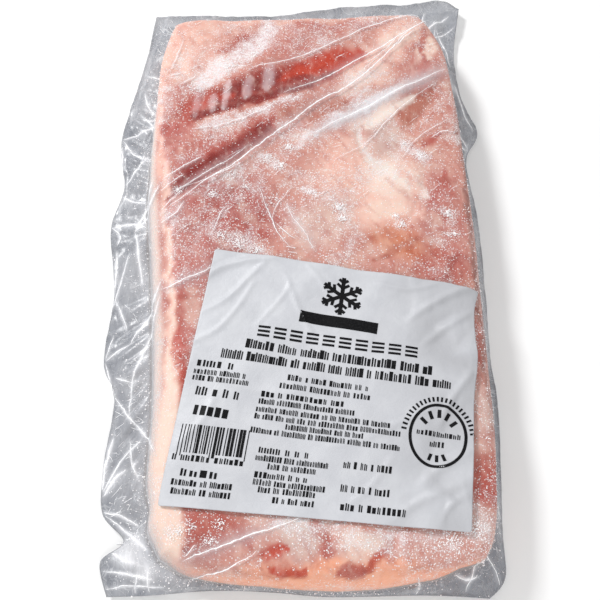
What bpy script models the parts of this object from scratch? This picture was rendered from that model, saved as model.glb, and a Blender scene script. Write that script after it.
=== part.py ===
"""Frozen pork belly slab in a clear film bag, with one stuck-on label.

Metres, +Z up. The slab lies skin down with its cut face up. The origin is on the surface
that it lies on, at the middle of the bag's outline, and +Y runs along the slab.

The bag and the frozen meat inside it are one closed solid, film_bag: the film clings to
the meat, and its loose margin lies flat round the foot of the slab. The label is a thin
plate of its own that follows the top of the bag.
"""

import math

import bmesh
import bpy
from mathutils import Vector
from mathutils.bvhtree import BVHTree

# --- driving dimensions ---------------------------------------------------------------

SLAB_WIDTH = 0.255          # of the cut face, as a mean
SLAB_LENGTH = 0.495
SLAB_HEIGHT = 0.042         # skin to cut face at the middle of the slab
SHOULDER_DROP = 0.004       # how much lower the top is right at its edge
SHOULDER_REACH = 0.010      # how far in from the edge that drop is felt
FOOT_HEIGHT = 0.011         # where the meat's side meets the loose film
FOOT_SPREAD = 0.004         # how far the foot stands out past the top edge
FAT_SPREAD = 0.013          # how much more it stands out along the fat edge, on the left
FAT_END = 0.160             # where that thicker fat edge has run out, along the slab
FAT_FADE = 0.130            # the length over which it runs out
RIM_HEIGHT = 0.0022         # the film margin's outer edge
CREASE_HEIGHT = 0.0035      # radiating creases of the film margin

LABEL_THICK = 0.0004
LABEL_GAP = 0.0007          # between the bag and the label
LABEL_CORNER = 0.0045       # radius of the label's corners

SLAB_COLUMNS = 32           # faces across the slab
SLAB_ROWS = 60              # faces along the slab
LABEL_COLUMNS = 18
LABEL_ROWS = 16

# Outlines seen from above, each as four sides: near and far run left to right, left and
# right run near to far, and the sides share their corner points.
SLAB_TOP = {
    "near": [(-0.088, -0.257), (-0.058, -0.267), (-0.008, -0.274), (0.068, -0.269),
             (0.127, -0.258)],
    "right": [(0.127, -0.258), (0.139, -0.210), (0.142, -0.080), (0.144, 0.060),
              (0.138, 0.175), (0.117, 0.230)],
    "far": [(-0.120, 0.218), (-0.080, 0.221), (-0.020, 0.221), (0.056, 0.226),
            (0.117, 0.230)],
    "left": [(-0.088, -0.257), (-0.096, -0.215), (-0.096, -0.140), (-0.105, -0.055),
             (-0.117, 0.030), (-0.128, 0.105), (-0.130, 0.165), (-0.120, 0.218)],
}
FILM_BAG = {
    "near": [(-0.137, -0.287), (-0.105, -0.286), (-0.062, -0.283), (-0.021, -0.284),
             (0.022, -0.287), (0.090, -0.286), (0.134, -0.288)],
    "right": [(0.134, -0.288), (0.147, -0.274), (0.145, -0.240), (0.150, -0.200),
              (0.154, -0.146), (0.150, -0.122), (0.154, -0.060), (0.159, 0.020),
              (0.155, 0.084), (0.170, 0.118), (0.158, 0.160), (0.155, 0.215),
              (0.167, 0.274)],
    "far": [(-0.148, 0.262), (-0.100, 0.262), (-0.033, 0.260), (0.048, 0.274),
            (0.110, 0.277), (0.149, 0.288), (0.167, 0.274)],
    "left": [(-0.137, -0.287), (-0.144, -0.264), (-0.129, -0.250), (-0.147, -0.230),
             (-0.150, -0.193), (-0.148, -0.142), (-0.160, -0.113), (-0.157, -0.050),
             (-0.169, 0.014), (-0.161, 0.056), (-0.170, 0.110), (-0.156, 0.195),
             (-0.148, 0.262)],
}
LABEL = {
    "near": [(-0.096, -0.229), (0.116, -0.247)],
    "right": [(0.116, -0.247), (0.124, -0.190), (0.131, -0.130), (0.141, -0.067)],
    "far": [(-0.067, -0.030), (0.037, -0.046), (0.141, -0.067)],
    "left": [(-0.096, -0.229), (-0.067, -0.030)],
}

# From the top edge of the slab to its foot: share of the way out, share of the way down.
SIDE_RINGS = [(0.35, 0.14), (0.80, 0.52), (1.00, 1.00)]
# From the foot to the film's outer edge: share of the way out.
MARGIN_RINGS = [0.22, 0.48, 0.74, 1.00]

# Broad swells of the cut face: place, radius and height.
SWELLS = [
    ((-0.060, 0.105), 0.050, 0.0018),
    ((0.000, -0.245), 0.020, 0.0026),
    ((0.042, -0.252), 0.018, 0.0022),
    ((0.075, 0.080), 0.055, -0.0016),
    ((-0.030, 0.020), 0.040, -0.0012),
    ((-0.055, -0.170), 0.060, 0.0014),
]

# Ridges where the film is gathered over the cut face, towards the far right corner:
# the points that each runs through, and how high it stands.
FILM_RIDGES = [
    ([(-0.113, 0.012), (-0.028, 0.082), (0.053, 0.151), (0.110, 0.212)], 0.0026),
    ([(-0.022, 0.123), (0.036, 0.162), (0.110, 0.206)], 0.0020),
]
RIDGE_WIDTH = 0.006

# Puckers of the loose margin, drawn together in a point: place and height.
PUCKERS = [
    ((-0.139, -0.014), 0.006),
    ((-0.154, 0.083), 0.006),
    ((-0.141, -0.124), 0.005),
    ((-0.134, -0.228), 0.005),
    ((0.157, 0.108), 0.004),
    ((0.140, 0.250), 0.006),
]
PUCKER_RADIUS = 0.011

MARGIN = len(MARGIN_RINGS) + len(SIDE_RINGS)


# --- outlines ---------------------------------------------------------------------------

def along(points, share):
    """The point at a share, 0 to 1, of the way along a smooth curve through points."""
    ends = [0.0]
    for start, stop in zip(points, points[1:]):
        ends.append(ends[-1] + math.dist(start, stop))
    reach = share * ends[-1]
    leg = 0
    while leg < len(points) - 2 and ends[leg + 1] < reach:
        leg += 1
    t = (reach - ends[leg]) / (ends[leg + 1] - ends[leg])
    before = points[max(leg - 1, 0)]
    after = points[min(leg + 2, len(points) - 1)]
    blended = []
    for a, b, c, d in zip(before, points[leg], points[leg + 1], after):
        square = 2 * a - 5 * b + 4 * c - d
        cube = 3 * b - a - 3 * c + d
        blended.append(0.5 * (2 * b + (c - a) * t + square * t * t + cube * t ** 3))
    return Vector(blended)


def inside(sides, u, v):
    """The point at u across and v along, in the patch that four sides bound."""
    near, far = along(sides["near"], u), along(sides["far"], u)
    left, right = along(sides["left"], v), along(sides["right"], v)
    corners = (
        Vector(sides["near"][0]) * (1 - u) * (1 - v)
        + Vector(sides["near"][-1]) * u * (1 - v)
        + Vector(sides["far"][0]) * (1 - u) * v
        + Vector(sides["far"][-1]) * u * v
    )
    return near * (1 - v) + far * v + left * (1 - u) + right * u - corners


def on_edge(sides, u, v):
    """The point on the outline itself, where u or v is 0 or 1."""
    if v <= 0.0:
        return along(sides["near"], u)
    if v >= 1.0:
        return along(sides["far"], u)
    if u <= 0.0:
        return along(sides["left"], v)
    return along(sides["right"], v)


# --- heights ----------------------------------------------------------------------------

def hump(distance, width):
    return math.exp(-(distance / width) ** 2)


def leg_distance(point, start, stop):
    """Distance from a point to a straight leg, and the share of the leg it is nearest."""
    leg = stop - start
    share = max(0.0, min(1.0, (point - start).dot(leg) / leg.length_squared))
    return (point - start - leg * share).length


def cut_face_height(point):
    """Height of the bag's top over the meat, away from the edges."""
    height = SLAB_HEIGHT
    height += 0.0009 * math.sin(point.x * 61 + point.y * 23) * math.cos(point.y * 47 - 0.6)
    height += 0.0005 * math.sin(point.x * 118 - point.y * 87 + 1.3)
    for place, radius, rise in SWELLS:
        height += rise * hump((point - Vector(place)).length, radius)
    for route, rise in FILM_RIDGES:
        stops = [Vector(stop) for stop in route]
        nearest = min(leg_distance(point, *leg) for leg in zip(stops, stops[1:]))
        height += rise * hump(nearest, RIDGE_WIDTH)
    return height


def shoulder(u, v):
    """Drop of the top surface near the slab's four edges, u across and v along."""
    across = min(u, 1 - u) * SLAB_WIDTH
    lengthways = min(v, 1 - v) * SLAB_LENGTH
    drop = math.exp(-across / SHOULDER_REACH) + math.exp(-lengthways / SHOULDER_REACH)
    return SHOULDER_DROP * min(drop, 1.3)


def margin_height(share, turn, point):
    """Height of the loose film, a share of the way from the slab's foot to its edge.

    Turn is the angle round the slab, which the creases follow: they run outwards.
    """
    fall = FOOT_HEIGHT + (RIM_HEIGHT - FOOT_HEIGHT) * share ** 0.6
    waves = math.sin(turn * 46) * math.sin(turn * 29 + 1.1) + 0.5 * math.sin(turn * 83 + 2.0)
    crease = CREASE_HEIGHT * abs(waves) * math.sin(math.pi * min(share, 0.9))
    pucker = 0.0
    if share < 1.0:
        for place, rise in PUCKERS:
            pucker += rise * hump((point - Vector(place)).length, PUCKER_RADIUS)
    return fall + crease + pucker


# --- film bag ---------------------------------------------------------------------------

def bag_point(column, row):
    """Where one vertex of the bag's top goes, from its place in a flat grid."""
    depth = min(column, row, SLAB_COLUMNS + 2 * MARGIN - column, SLAB_ROWS + 2 * MARGIN - row)
    if depth >= MARGIN:
        u = (column - MARGIN) / SLAB_COLUMNS
        v = (row - MARGIN) / SLAB_ROWS
        place = inside(SLAB_TOP, u, v)
        return Vector((place.x, place.y, cut_face_height(place) - shoulder(u, v)))

    u = (column - depth) / (SLAB_COLUMNS + 2 * (MARGIN - depth))
    v = (row - depth) / (SLAB_ROWS + 2 * (MARGIN - depth))
    top = on_edge(SLAB_TOP, u, v)
    edge = on_edge(FILM_BAG, u, v)
    outward = (edge - top).normalized()
    along_fat = max(0.0, min(1.0, (FAT_END - top.y) / FAT_FADE))
    spread = FOOT_SPREAD + FAT_SPREAD * max(0.0, -outward.x) * along_fat
    foot = top + outward * spread
    top_height = cut_face_height(top) - shoulder(u, v)

    ring = MARGIN - 1 - depth
    if ring < len(SIDE_RINGS):
        out, down = SIDE_RINGS[ring]
        place = top.lerp(foot, out)
        return Vector((place.x, place.y, top_height + (FOOT_HEIGHT - top_height) * down))
    share = MARGIN_RINGS[ring - len(SIDE_RINGS)]
    place = foot.lerp(edge, share)
    turn = math.atan2(place.y * SLAB_WIDTH, place.x * SLAB_LENGTH)
    return Vector((place.x, place.y, margin_height(share, turn, place)))


def make_film_bag(collection):
    columns = SLAB_COLUMNS + 2 * MARGIN
    rows = SLAB_ROWS + 2 * MARGIN
    bm = bmesh.new()
    bmesh.ops.create_grid(bm, x_segments=columns, y_segments=rows, size=1.0)
    for vert in bm.verts:
        column = round((vert.co.x + 1) / 2 * columns)
        row = round((vert.co.y + 1) / 2 * rows)
        vert.co = bag_point(column, row)

    rim = [edge for edge in bm.edges if edge.is_boundary]
    skirt = bmesh.ops.extrude_edge_only(bm, edges=rim)["geom"]
    for item in skirt:
        if isinstance(item, bmesh.types.BMVert):
            item.co.z = 0.0
    base = [item for item in skirt if isinstance(item, bmesh.types.BMEdge) and item.is_boundary]
    bmesh.ops.contextual_create(bm, geom=base)
    bmesh.ops.recalc_face_normals(bm, faces=bm.faces[:])
    return finish_object("film_bag", bm, collection)


# --- label ------------------------------------------------------------------------------

def make_label(collection, bag):
    """A thin plate laid on the bag: each point is set down on the bag's top."""
    ground = BVHTree.FromPolygons(
        [vert.co for vert in bag.data.vertices],
        [face.vertices for face in bag.data.polygons],
    )
    bm = bmesh.new()
    bmesh.ops.create_grid(bm, x_segments=LABEL_COLUMNS, y_segments=LABEL_ROWS, size=1.0)
    middle = inside(LABEL, 0.5, 0.5)
    for vert in bm.verts:
        u = (vert.co.x + 1) / 2
        v = (vert.co.y + 1) / 2
        place = inside(LABEL, u, v)
        if len(vert.link_faces) == 1:
            place += (middle - place).normalized() * LABEL_CORNER * 0.41
        above = Vector((place.x, place.y, 2 * SLAB_HEIGHT))
        landing = ground.ray_cast(above, Vector((0, 0, -1)))[0]
        vert.co = landing + Vector((0, 0, LABEL_GAP))
    label = finish_object("label", bm, collection)
    solidify = label.modifiers.new("paper thickness", "SOLIDIFY")
    solidify.thickness = LABEL_THICK
    solidify.offset = 1.0
    return label


# --- scene ------------------------------------------------------------------------------

def finish_object(name, bm, collection):
    mesh = bpy.data.meshes.new(name)
    bm.to_mesh(mesh)
    bm.free()
    mesh.shade_smooth()
    mesh.set_sharp_from_angle(angle=math.radians(40))
    obj = bpy.data.objects.new(name, mesh)
    collection.objects.link(obj)
    return obj


def paint(obj, colour, roughness):
    material = bpy.data.materials.new(obj.name)
    material.use_nodes = True
    shader = material.node_tree.nodes["Principled BSDF"]
    shader.inputs["Base Color"].default_value = (*colour, 1.0)
    shader.inputs["Roughness"].default_value = roughness
    shader.inputs["Metallic"].default_value = 0.0
    obj.data.materials.append(material)


for old in list(bpy.data.objects):
    bpy.data.objects.remove(old)

parts = bpy.data.collections.new("pork belly slab")
bpy.context.scene.collection.children.link(parts)

film_bag = make_film_bag(parts)
paint(film_bag, (0.72, 0.36, 0.29), 0.30)

label = make_label(parts, film_bag)
paint(label, (0.86, 0.87, 0.88), 0.60)
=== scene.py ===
import math

import bpy
import numpy as np
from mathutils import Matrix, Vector
from mathutils.bvhtree import BVHTree
from mathutils.geometry import delaunay_2d_cdt


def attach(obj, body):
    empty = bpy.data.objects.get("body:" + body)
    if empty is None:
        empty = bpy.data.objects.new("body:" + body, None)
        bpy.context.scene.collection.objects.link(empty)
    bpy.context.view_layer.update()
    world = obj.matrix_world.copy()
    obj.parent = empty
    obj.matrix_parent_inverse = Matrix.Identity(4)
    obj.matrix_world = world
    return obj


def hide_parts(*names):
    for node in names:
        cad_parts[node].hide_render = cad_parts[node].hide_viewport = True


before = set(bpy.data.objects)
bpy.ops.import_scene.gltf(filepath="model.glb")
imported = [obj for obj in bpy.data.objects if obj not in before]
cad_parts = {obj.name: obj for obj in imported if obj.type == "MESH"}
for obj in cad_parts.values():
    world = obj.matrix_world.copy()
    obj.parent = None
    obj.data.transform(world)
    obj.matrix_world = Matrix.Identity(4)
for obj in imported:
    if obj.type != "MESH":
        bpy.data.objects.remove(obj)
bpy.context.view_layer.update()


# --- Pork belly slab ------------------------------------------------------------------------
# One frozen slab of pork belly, skin down, with its rib side up: bands of lean and fat, a fat
# edge on the left, rib marks near the far end, and frost on all of it. It is one solid of
# meat that fills the film bag, 0.8 mm inside the film.

MM = 0.001
SLAB_WIDTH, SLAB_LENGTH, SLAB_HEIGHT = 0.255, 0.495, 0.042
SHOULDER_DROP, SHOULDER_REACH = 0.004, 0.010
FOOT_HEIGHT, FOOT_SPREAD = 0.011, 0.004
FAT_SPREAD, FAT_END, FAT_FADE = 0.016, 0.160, 0.130
SIDE_BULGE = 0.004
FILM_CLEARANCE = 0.0008
SLAB_COLUMNS, SLAB_ROWS, SLAB_RINGS = 180, 340, 20

# Outline of the cut face in millimetres: near and far run left to right, the others near to far.
SLAB_TOP = {
    "near": [(-88, -257), (-58, -267), (-8, -274), (68, -270), (128, -261)],
    "right": [(128, -261), (139, -210), (142, -80), (144, 60), (138, 180), (118, 235)],
    "far": [(-122, 224), (-80, 227), (-20, 227), (56, 231), (118, 235)],
    "left": [(-88, -257), (-98, -218), (-98, -140), (-105, -55), (-117, 30), (-128, 105),
             (-131, 170), (-122, 224)],
}
# How far each corner is drawn in, in millimetres.
CORNER_PULLS = [("near", 0, 2.0), ("near", -1, 2.2), ("far", 0, 1.0), ("far", -1, 1.6)]
# Broad swells of the cut face: place, radius and rise, in millimetres.
SWELLS = [((-60, 105), 50, 1.8), ((0, -245), 20, 2.6), ((42, -252), 18, 2.2),
          ((75, 80), 55, -1.6), ((-30, 20), 40, -1.2), ((-55, -170), 60, 1.4)]
# Grooves and lumps of the meat itself: depth, half width, then the points each runs through.
MEAT_FURROWS = [
    (1.6, 4, [(-97, 104), (-80, 108), (-60, 117), (-30, 130), (0, 140)]),
    (1.1, 3, [(-115, 22), (-100, 38), (-75, 60), (-45, 80), (-35, 90)]),
    (0.9, 2, [(-90, 108), (-88, 140)]), (0.9, 2, [(-73, 108), (-70, 142)]),
    (0.9, 2, [(-55, 118), (-52, 150)]), (0.9, 2, [(-38, 132), (-36, 158)]),
    (1.4, 4, [(52, 98), (53, 80), (58, 68), (66, 61), (78, 58)]),
    (1.2, 3, [(-27, -261), (-8, -256)]), (1.3, 4, [(20, -262), (21, -240)]),
    (1.5, 4, [(60, -262), (66, -246)]), (0.9, 3, [(88, -5), (102, 20), (108, 55)]),
    (0.8, 3, [(80, 190), (98, 214)]), (0.8, 3, [(100, 95), (120, 130), (133, 170)]),
]
MEAT_LUMPS = [((0, -247), 12, 1.6), ((40, -252), 13, 1.5), ((20, -268), 9, 0.8),
              ((-70, -247), 12, 1.0), ((62, 92), 14, 0.9), ((108, 62), 10, 1.2)]


def curve_through(points, share):
    """Points at shares, 0 to 1, along a smooth curve through the given points."""
    points = np.asarray(points, float)
    legs = np.hypot(*np.diff(points, axis=0).T)
    ends = np.concatenate([[0.0], np.cumsum(legs)])
    reach = np.asarray(share, float) * ends[-1]
    leg = np.clip(np.searchsorted(ends, reach) - 1, 0, len(points) - 2)
    t = ((reach - ends[leg]) / legs[leg])[:, None]
    a, b = points[np.maximum(leg - 1, 0)], points[leg]
    c, d = points[leg + 1], points[np.minimum(leg + 2, len(points) - 1)]
    square, cube = 2 * a - 5 * b + 4 * c - d, 3 * b - a - 3 * c + d
    return 0.5 * (2 * b + (c - a) * t + square * t * t + cube * t ** 3)


def patch_inside(sides, u, v):
    """Points at u across and v along in the patch that four sides bound."""
    sides = {name: np.asarray(points, float) for name, points in sides.items()}
    near, far = curve_through(sides["near"], u), curve_through(sides["far"], u)
    left, right = curve_through(sides["left"], v), curve_through(sides["right"], v)
    u, v = u[:, None], v[:, None]
    corners = (sides["near"][0] * (1 - u) * (1 - v) + sides["near"][-1] * u * (1 - v)
               + sides["far"][0] * (1 - u) * v + sides["far"][-1] * u * v)
    return near * (1 - v) + far * v + left * (1 - u) + right * u - corners


def outline_at(sides, u, v):
    """Points on the outline itself, where u or v is 0 or 1."""
    spot = curve_through(sides["right"], v)
    spot = np.where((u <= 0)[:, None], curve_through(sides["left"], v), spot)
    spot = np.where((v >= 1)[:, None], curve_through(sides["far"], u), spot)
    return np.where((v <= 0)[:, None], curve_through(sides["near"], u), spot)


def distance_to(points, place):
    """How far each place is from a smooth curve, in millimetres, and how far along it, 0 to 1."""
    points = np.asarray(points, float)
    length = np.hypot(*np.diff(points, axis=0).T).sum()
    stops = curve_through(points, np.linspace(0, 1, max(3, int(length / 5))))
    nearest, share = np.full(len(place), 1e6), np.zeros(len(place))
    close = np.all((place > stops.min(0) - 30) & (place < stops.max(0) + 30), axis=1)
    spots = place[close]
    best, at = np.full(len(spots), 1e6), np.zeros(len(spots))
    for index, (start, stop) in enumerate(zip(stops, stops[1:])):
        leg = stop - start
        t = np.clip((spots - start) @ leg / (leg @ leg), 0, 1)
        gap = np.hypot(*(spots - start - t[:, None] * leg).T)
        at = np.where(gap < best, (index + t) / (len(stops) - 1), at)
        best = np.minimum(best, gap)
    nearest[close], share[close] = best, at
    return nearest, share


def mottle(place, size, seed, octaves=3):
    """Smooth random blotches of a given size over places in millimetres, about -1 to 1."""
    total, strength = np.zeros(len(place)), 1.0
    for octave in range(octaves):
        lattice = np.random.default_rng(seed + octave).uniform(-1, 1, (257, 257))
        spot = place / size + 128.0
        cell = np.floor(spot).astype(int) % 256
        x, y = (3 * f ** 2 - 2 * f ** 3 for f in (spot - np.floor(spot)).T)
        i, j = cell.T
        low = lattice[i, j] * (1 - x) + lattice[i + 1, j] * x
        high = lattice[i, j + 1] * (1 - x) + lattice[i + 1, j + 1] * x
        total += strength * (low * (1 - y) + high * y)
        size, strength = size / 2.1, strength * 0.55
    return total / 1.5


def hump(distance, width):
    return np.exp(-(distance / width) ** 2)


def soft_step(value, low, high):
    t = np.clip((value - low) / (high - low), 0, 1)
    return t * t * (3 - 2 * t)


def cut_face_height(place):
    """Height of the slab's top in metres, at places in millimetres, away from its edges."""
    x, y = place.T * MM
    height = SLAB_HEIGHT + 0.0009 * np.sin(x * 61 + y * 23) * np.cos(y * 47 - 0.6)
    height += 0.0005 * np.sin(x * 118 - y * 87 + 1.3)
    for spot, radius, rise in SWELLS:
        height += rise * MM * hump(np.hypot(*(place - spot).T), radius)
    return height


def shoulder(u, v):
    """Drop of the top near the slab's four edges."""
    across, lengthways = np.minimum(u, 1 - u) * SLAB_WIDTH, np.minimum(v, 1 - v) * SLAB_LENGTH
    drop = np.exp(-across / SHOULDER_REACH)
    drop = drop + np.exp(-lengthways / SHOULDER_REACH) * np.where(v > 0.5, 0.45, 1)
    return SHOULDER_DROP * np.minimum(drop, 1.3)


def tapered(share, kept=0.9, fullness=0.5):
    """Strength along a line that fades out at both of its ends."""
    return np.sin(np.pi * np.clip(share * kept + (1 - kept) / 2, 0, 1)) ** fullness


def spots_of(piece):
    """Places of a piece's vertices, in metres."""
    spots = np.zeros(len(piece.data.vertices) * 3)
    piece.data.vertices.foreach_get("co", spots)
    return spots.reshape(-1, 3)


def wrapped_grid(name, columns, rows, rings):
    """A flat grid, and for each vertex its u, v and how many rings it is out from the top."""
    bpy.ops.object.select_all(action="DESELECT")
    bpy.ops.mesh.primitive_grid_add(x_subdivisions=columns + 2 * rings,
                                    y_subdivisions=rows + 2 * rings, size=2)
    piece = bpy.context.object
    piece.name = piece.data.name = name
    across, along = ((spots_of(piece)[:, :2] + 1) / 2).T
    column = np.rint(across * (columns + 2 * rings))
    row = np.rint(along * (rows + 2 * rings))
    edge = np.minimum(np.minimum(column, row),
                      np.minimum(columns + 2 * rings - column, rows + 2 * rings - row))
    out = np.maximum(rings - edge, 0)
    inset = rings - out
    u = (column - inset) / (columns + 2 * out)
    v = (row - inset) / (rows + 2 * out)
    return piece, u, v, out.astype(int)


def close_underside(piece, smooth_angle):
    """Fills the open rim with one face, and turns every face outwards."""
    bpy.ops.object.mode_set(mode="EDIT")
    bpy.ops.mesh.select_mode(type="EDGE")
    bpy.ops.mesh.select_all(action="DESELECT")
    bpy.ops.mesh.select_non_manifold()
    bpy.ops.mesh.edge_face_add()
    bpy.ops.mesh.select_all(action="SELECT")
    bpy.ops.mesh.normals_make_consistent(inside=False)
    bpy.ops.object.mode_set(mode="OBJECT")
    bpy.ops.object.shade_smooth_by_angle(angle=math.radians(smooth_angle))


def store(piece, name, values):
    """Keeps a value or a colour for each vertex, for the piece's material to read."""
    colour = values.ndim == 2
    kept = piece.data.attributes.new(name, "FLOAT_COLOR" if colour else "FLOAT", "POINT")
    kept.data.foreach_set("color" if colour else "value", values.astype(np.float32).ravel())


def set_places(piece, places):
    piece.data.vertices.foreach_set("co", places.astype(np.float32).ravel())
    piece.data.update()


def slab_outline(u, v, on_top):
    """The slab's top in plan, with its four corners drawn in to a round, in millimetres."""
    place = np.where(on_top[:, None], patch_inside(SLAB_TOP, u, v), outline_at(SLAB_TOP, u, v))
    for side, end, most in CORNER_PULLS:
        corner = np.array(SLAB_TOP[side][end], float)
        pull = most * hump(np.hypot(*(place - corner).T), 11)
        place = place - corner / np.hypot(*corner) * pull[:, None]
    return place


def side_shares(step):
    """Share out and share down of the side, for steps 0 at the top edge to 1 at the foot."""
    steps = [0.0, 0.25, 0.6, 1.0]
    return np.interp(step, steps, [0, 0.35, 0.80, 1]), np.interp(step, steps, [0, 0.14, 0.52, 1])


def foot_spread(top, outward):
    """How far the foot stands out past the top edge: more along the fat edge on the left."""
    along_fat = np.clip((FAT_END - top[:, 1] * MM) / FAT_FADE, 0, 1)
    bulge = SIDE_BULGE * np.maximum(0, outward[:, 0]) * soft_step(120 - top[:, 1], 0, 80)
    near_left = hump(np.hypot(*(top - SLAB_TOP["near"][0]).T), 22)
    fat = FAT_SPREAD * np.maximum(0, -outward[:, 0]) * along_fat * (1 - 0.25 * near_left)
    return FOOT_SPREAD + 0.002 * np.maximum(0, -outward[:, 1]) + fat + bulge


FILM_BAG = {
    "near": [(-137, -287), (-105, -286), (-62, -283), (-21, -284), (22, -287), (90, -286),
             (134, -288)],
    "right": [(134, -288), (147, -274), (149, -240), (153, -200), (157, -146), (156, -110),
              (158, -60), (160, 20), (156, 84), (170, 118), (159, 160), (157, 215), (167, 276)],
    "far": [(-150, 265), (-100, 266), (-33, 265), (48, 278), (110, 281), (149, 288), (167, 276)],
    "left": [(-137, -287), (-144, -264), (-129, -250), (-147, -230), (-150, -193), (-148, -142),
             (-160, -113), (-159, -50), (-169, 14), (-162, 56), (-170, 110), (-158, 195),
             (-150, 265)],
}



def outward_from(place, u, v):
    """The bag's outline abreast of each place, and the way to it, as a unit step."""
    edge = outline_at(FILM_BAG, u, v)
    outward = edge - place
    return edge, outward / np.hypot(*outward.T)[:, None]


slab, u, v, out = wrapped_grid("belly_slab", SLAB_COLUMNS, SLAB_ROWS, SLAB_RINGS)
on_top = out == 0
place = slab_outline(u, v, on_top)
edge, outward = outward_from(place, u, v)
spread = foot_spread(place, outward)
SIDE_STEPS = 11
step = np.clip(out / SIDE_STEPS, 0, 1)
share_out, share_down = side_shares(step)
under = np.clip((out - SIDE_STEPS) / (SLAB_RINGS - SIDE_STEPS), 0, 1)
reach = spread * share_out - FILM_CLEARANCE * step - 0.004 * under ** 2
top_height = cut_face_height(place) - shoulder(u, v)
side = place + outward * reach[:, None] / MM
height = top_height + (FOOT_HEIGHT - top_height) * share_down - FILM_CLEARANCE * (1 - step)
height = np.where(out > SIDE_STEPS, FOOT_HEIGHT * (1 - under ** 1.6) + 0.0004 * under, height)
for depth, width, route in MEAT_FURROWS:
    gap, share = distance_to(route, place)
    height -= depth * MM * hump(gap, width) * tapered(share) * on_top
for spot, radius, rise in MEAT_LUMPS:
    height += 0.4 * rise * MM * hump(np.hypot(*(place - spot).T), radius) * on_top
texture = 0.35 * mottle(place, 9, 11) + 0.12 * mottle(place, 2.6, 21, 2)
height += np.minimum(texture, 0.5) * MM * (out < SIDE_STEPS) - 0.0002
set_places(slab, np.column_stack([np.where(on_top[:, None], place, side) * MM, height]))
close_underside(slab, 60)

MEAT_COLOURS = {
    "fat": (236, 208, 194), "fat_white": (238, 224, 214), "fat_peach": (232, 184, 168),
    "salmon": (202, 144, 131), "rose": (186, 114, 105), "mauve": (172, 102, 97),
    "lean": (172, 74, 62), "lean_deep": (130, 26, 16), "vivid": (184, 56, 28),
    "ochre": (200, 120, 86), "brown_red": (176, 106, 88), "grey_cream": (205, 174, 165),
    "orange_fat": (240, 170, 138), "side_brown_and_shade": (120, 76, 70), "rime": (234, 222, 225),
    "skin": (230, 202, 188), "cream": (242, 218, 202),
}


def paint_shade(red, green, blue):
    """A paint colour, given 0 to 255, as the light it reflects."""
    share = np.array([red, green, blue]) / 255
    return np.where(share > 0.04045, ((share + 0.055) / 1.055) ** 2.4, share / 12.92)


# Broad fields of the cut face: colour, middle, half sizes and turn in degrees, strength.
MEAT_FIELDS = [
    ("rose", (-85, -100), (40, 130), 0, 0.9), ("mauve", (-66, 5), (52, 42), 25, 0.95),
    ("rose", (-95, -25), (24, 60), 8, 0.8), ("lean", (-104, 95), (22, 26), 0, 0.45),
    ("rose", (-92, 60), (28, 34), 20, 0.6), ("fat_peach", (-92, 185), (42, 38), 0, 0.95),
    ("salmon", (-45, 195), (35, 28), 0, 0.6), ("rose", (-10, 200), (42, 22), 8, 0.75),
    ("rose", (40, 222), (44, 12), 6, 0.8), ("salmon", (60, 196), (26, 14), 30, 0.6),
    ("salmon", (20, 45), (42, 50), 0, 0.9), ("fat_peach", (56, 50), (40, 52), -10, 0.85),
    ("grey_cream", (24, 0), (30, 22), 20, 0.6),
    ("rose", (-8, 110), (40, 18), 20, 0.5), ("salmon", (30, 112), (26, 16), 30, 0.6),
    ("grey_cream", (66, 82), (26, 24), 0, 0.95), ("fat", (74, 114), (34, 8), 32, 0.95),
    ("fat_peach", (72, 172), (34, 22), 34, 0.95), ("fat_peach", (100, 208), (26, 16), 20, 0.9),
    ("fat", (58, 150), (22, 9), 34, 0.7), ("cream", (92, 200), (22, 9), 30, 0.6),
    ("brown_red", (106, 140), (20, 30), -25, 0.8), ("rose", (112, 160), (20, 32), -10, 0.75),
    ("salmon", (107, 92), (14, 18), -30, 0.8), ("fat", (84, 36), (27, 24), -30, 1.0),
    ("cream", (66, 52), (14, 10), -20, 0.8), ("fat_peach", (72, 6), (26, 18), 0, 0.95),
    ("cream", (74, 10), (20, 10), 0, 0.6), ("fat_peach", (38, 62), (30, 26), 20, 0.55),
    ("ochre", (86, -24), (25, 15), -20, 0.95),
    ("mauve", (110, 8), (13, 28), 0, 0.7), ("rose", (120, 38), (12, 22), 0, 0.8),
    ("lean", (114, -42), (20, 22), 0, 0.7), ("rose", (126, -5), (14, 44), 0, 0.65),
    ("lean", (131, -110), (9, 34), 0, 0.55), ("grey_cream", (134, -165), (9, 24), 0, 0.8),
    ("lean", (130, -212), (11, 20), 0, 0.8), ("grey_cream", (124, -242), (14, 12), 0, 0.7),
    ("lean", (-72, -245), (28, 14), -15, 0.75), ("salmon", (-32, -256), (17, 12), 0, 0.85),
    ("orange_fat", (30, -276), (66, 12), 0, 0.95), ("salmon", (80, -260), (22, 12), 0, 0.7),
    ("grey_cream", (0, -249), (14, 12), 0, 0.9), ("fat", (40, -254), (14, 10), 0, 0.9),
    ("orange_fat", (60, -268), (18, 7), 10, 0.8),
    ("lean", (122, -222), (14, 12), 0, 0.6),
]
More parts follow.
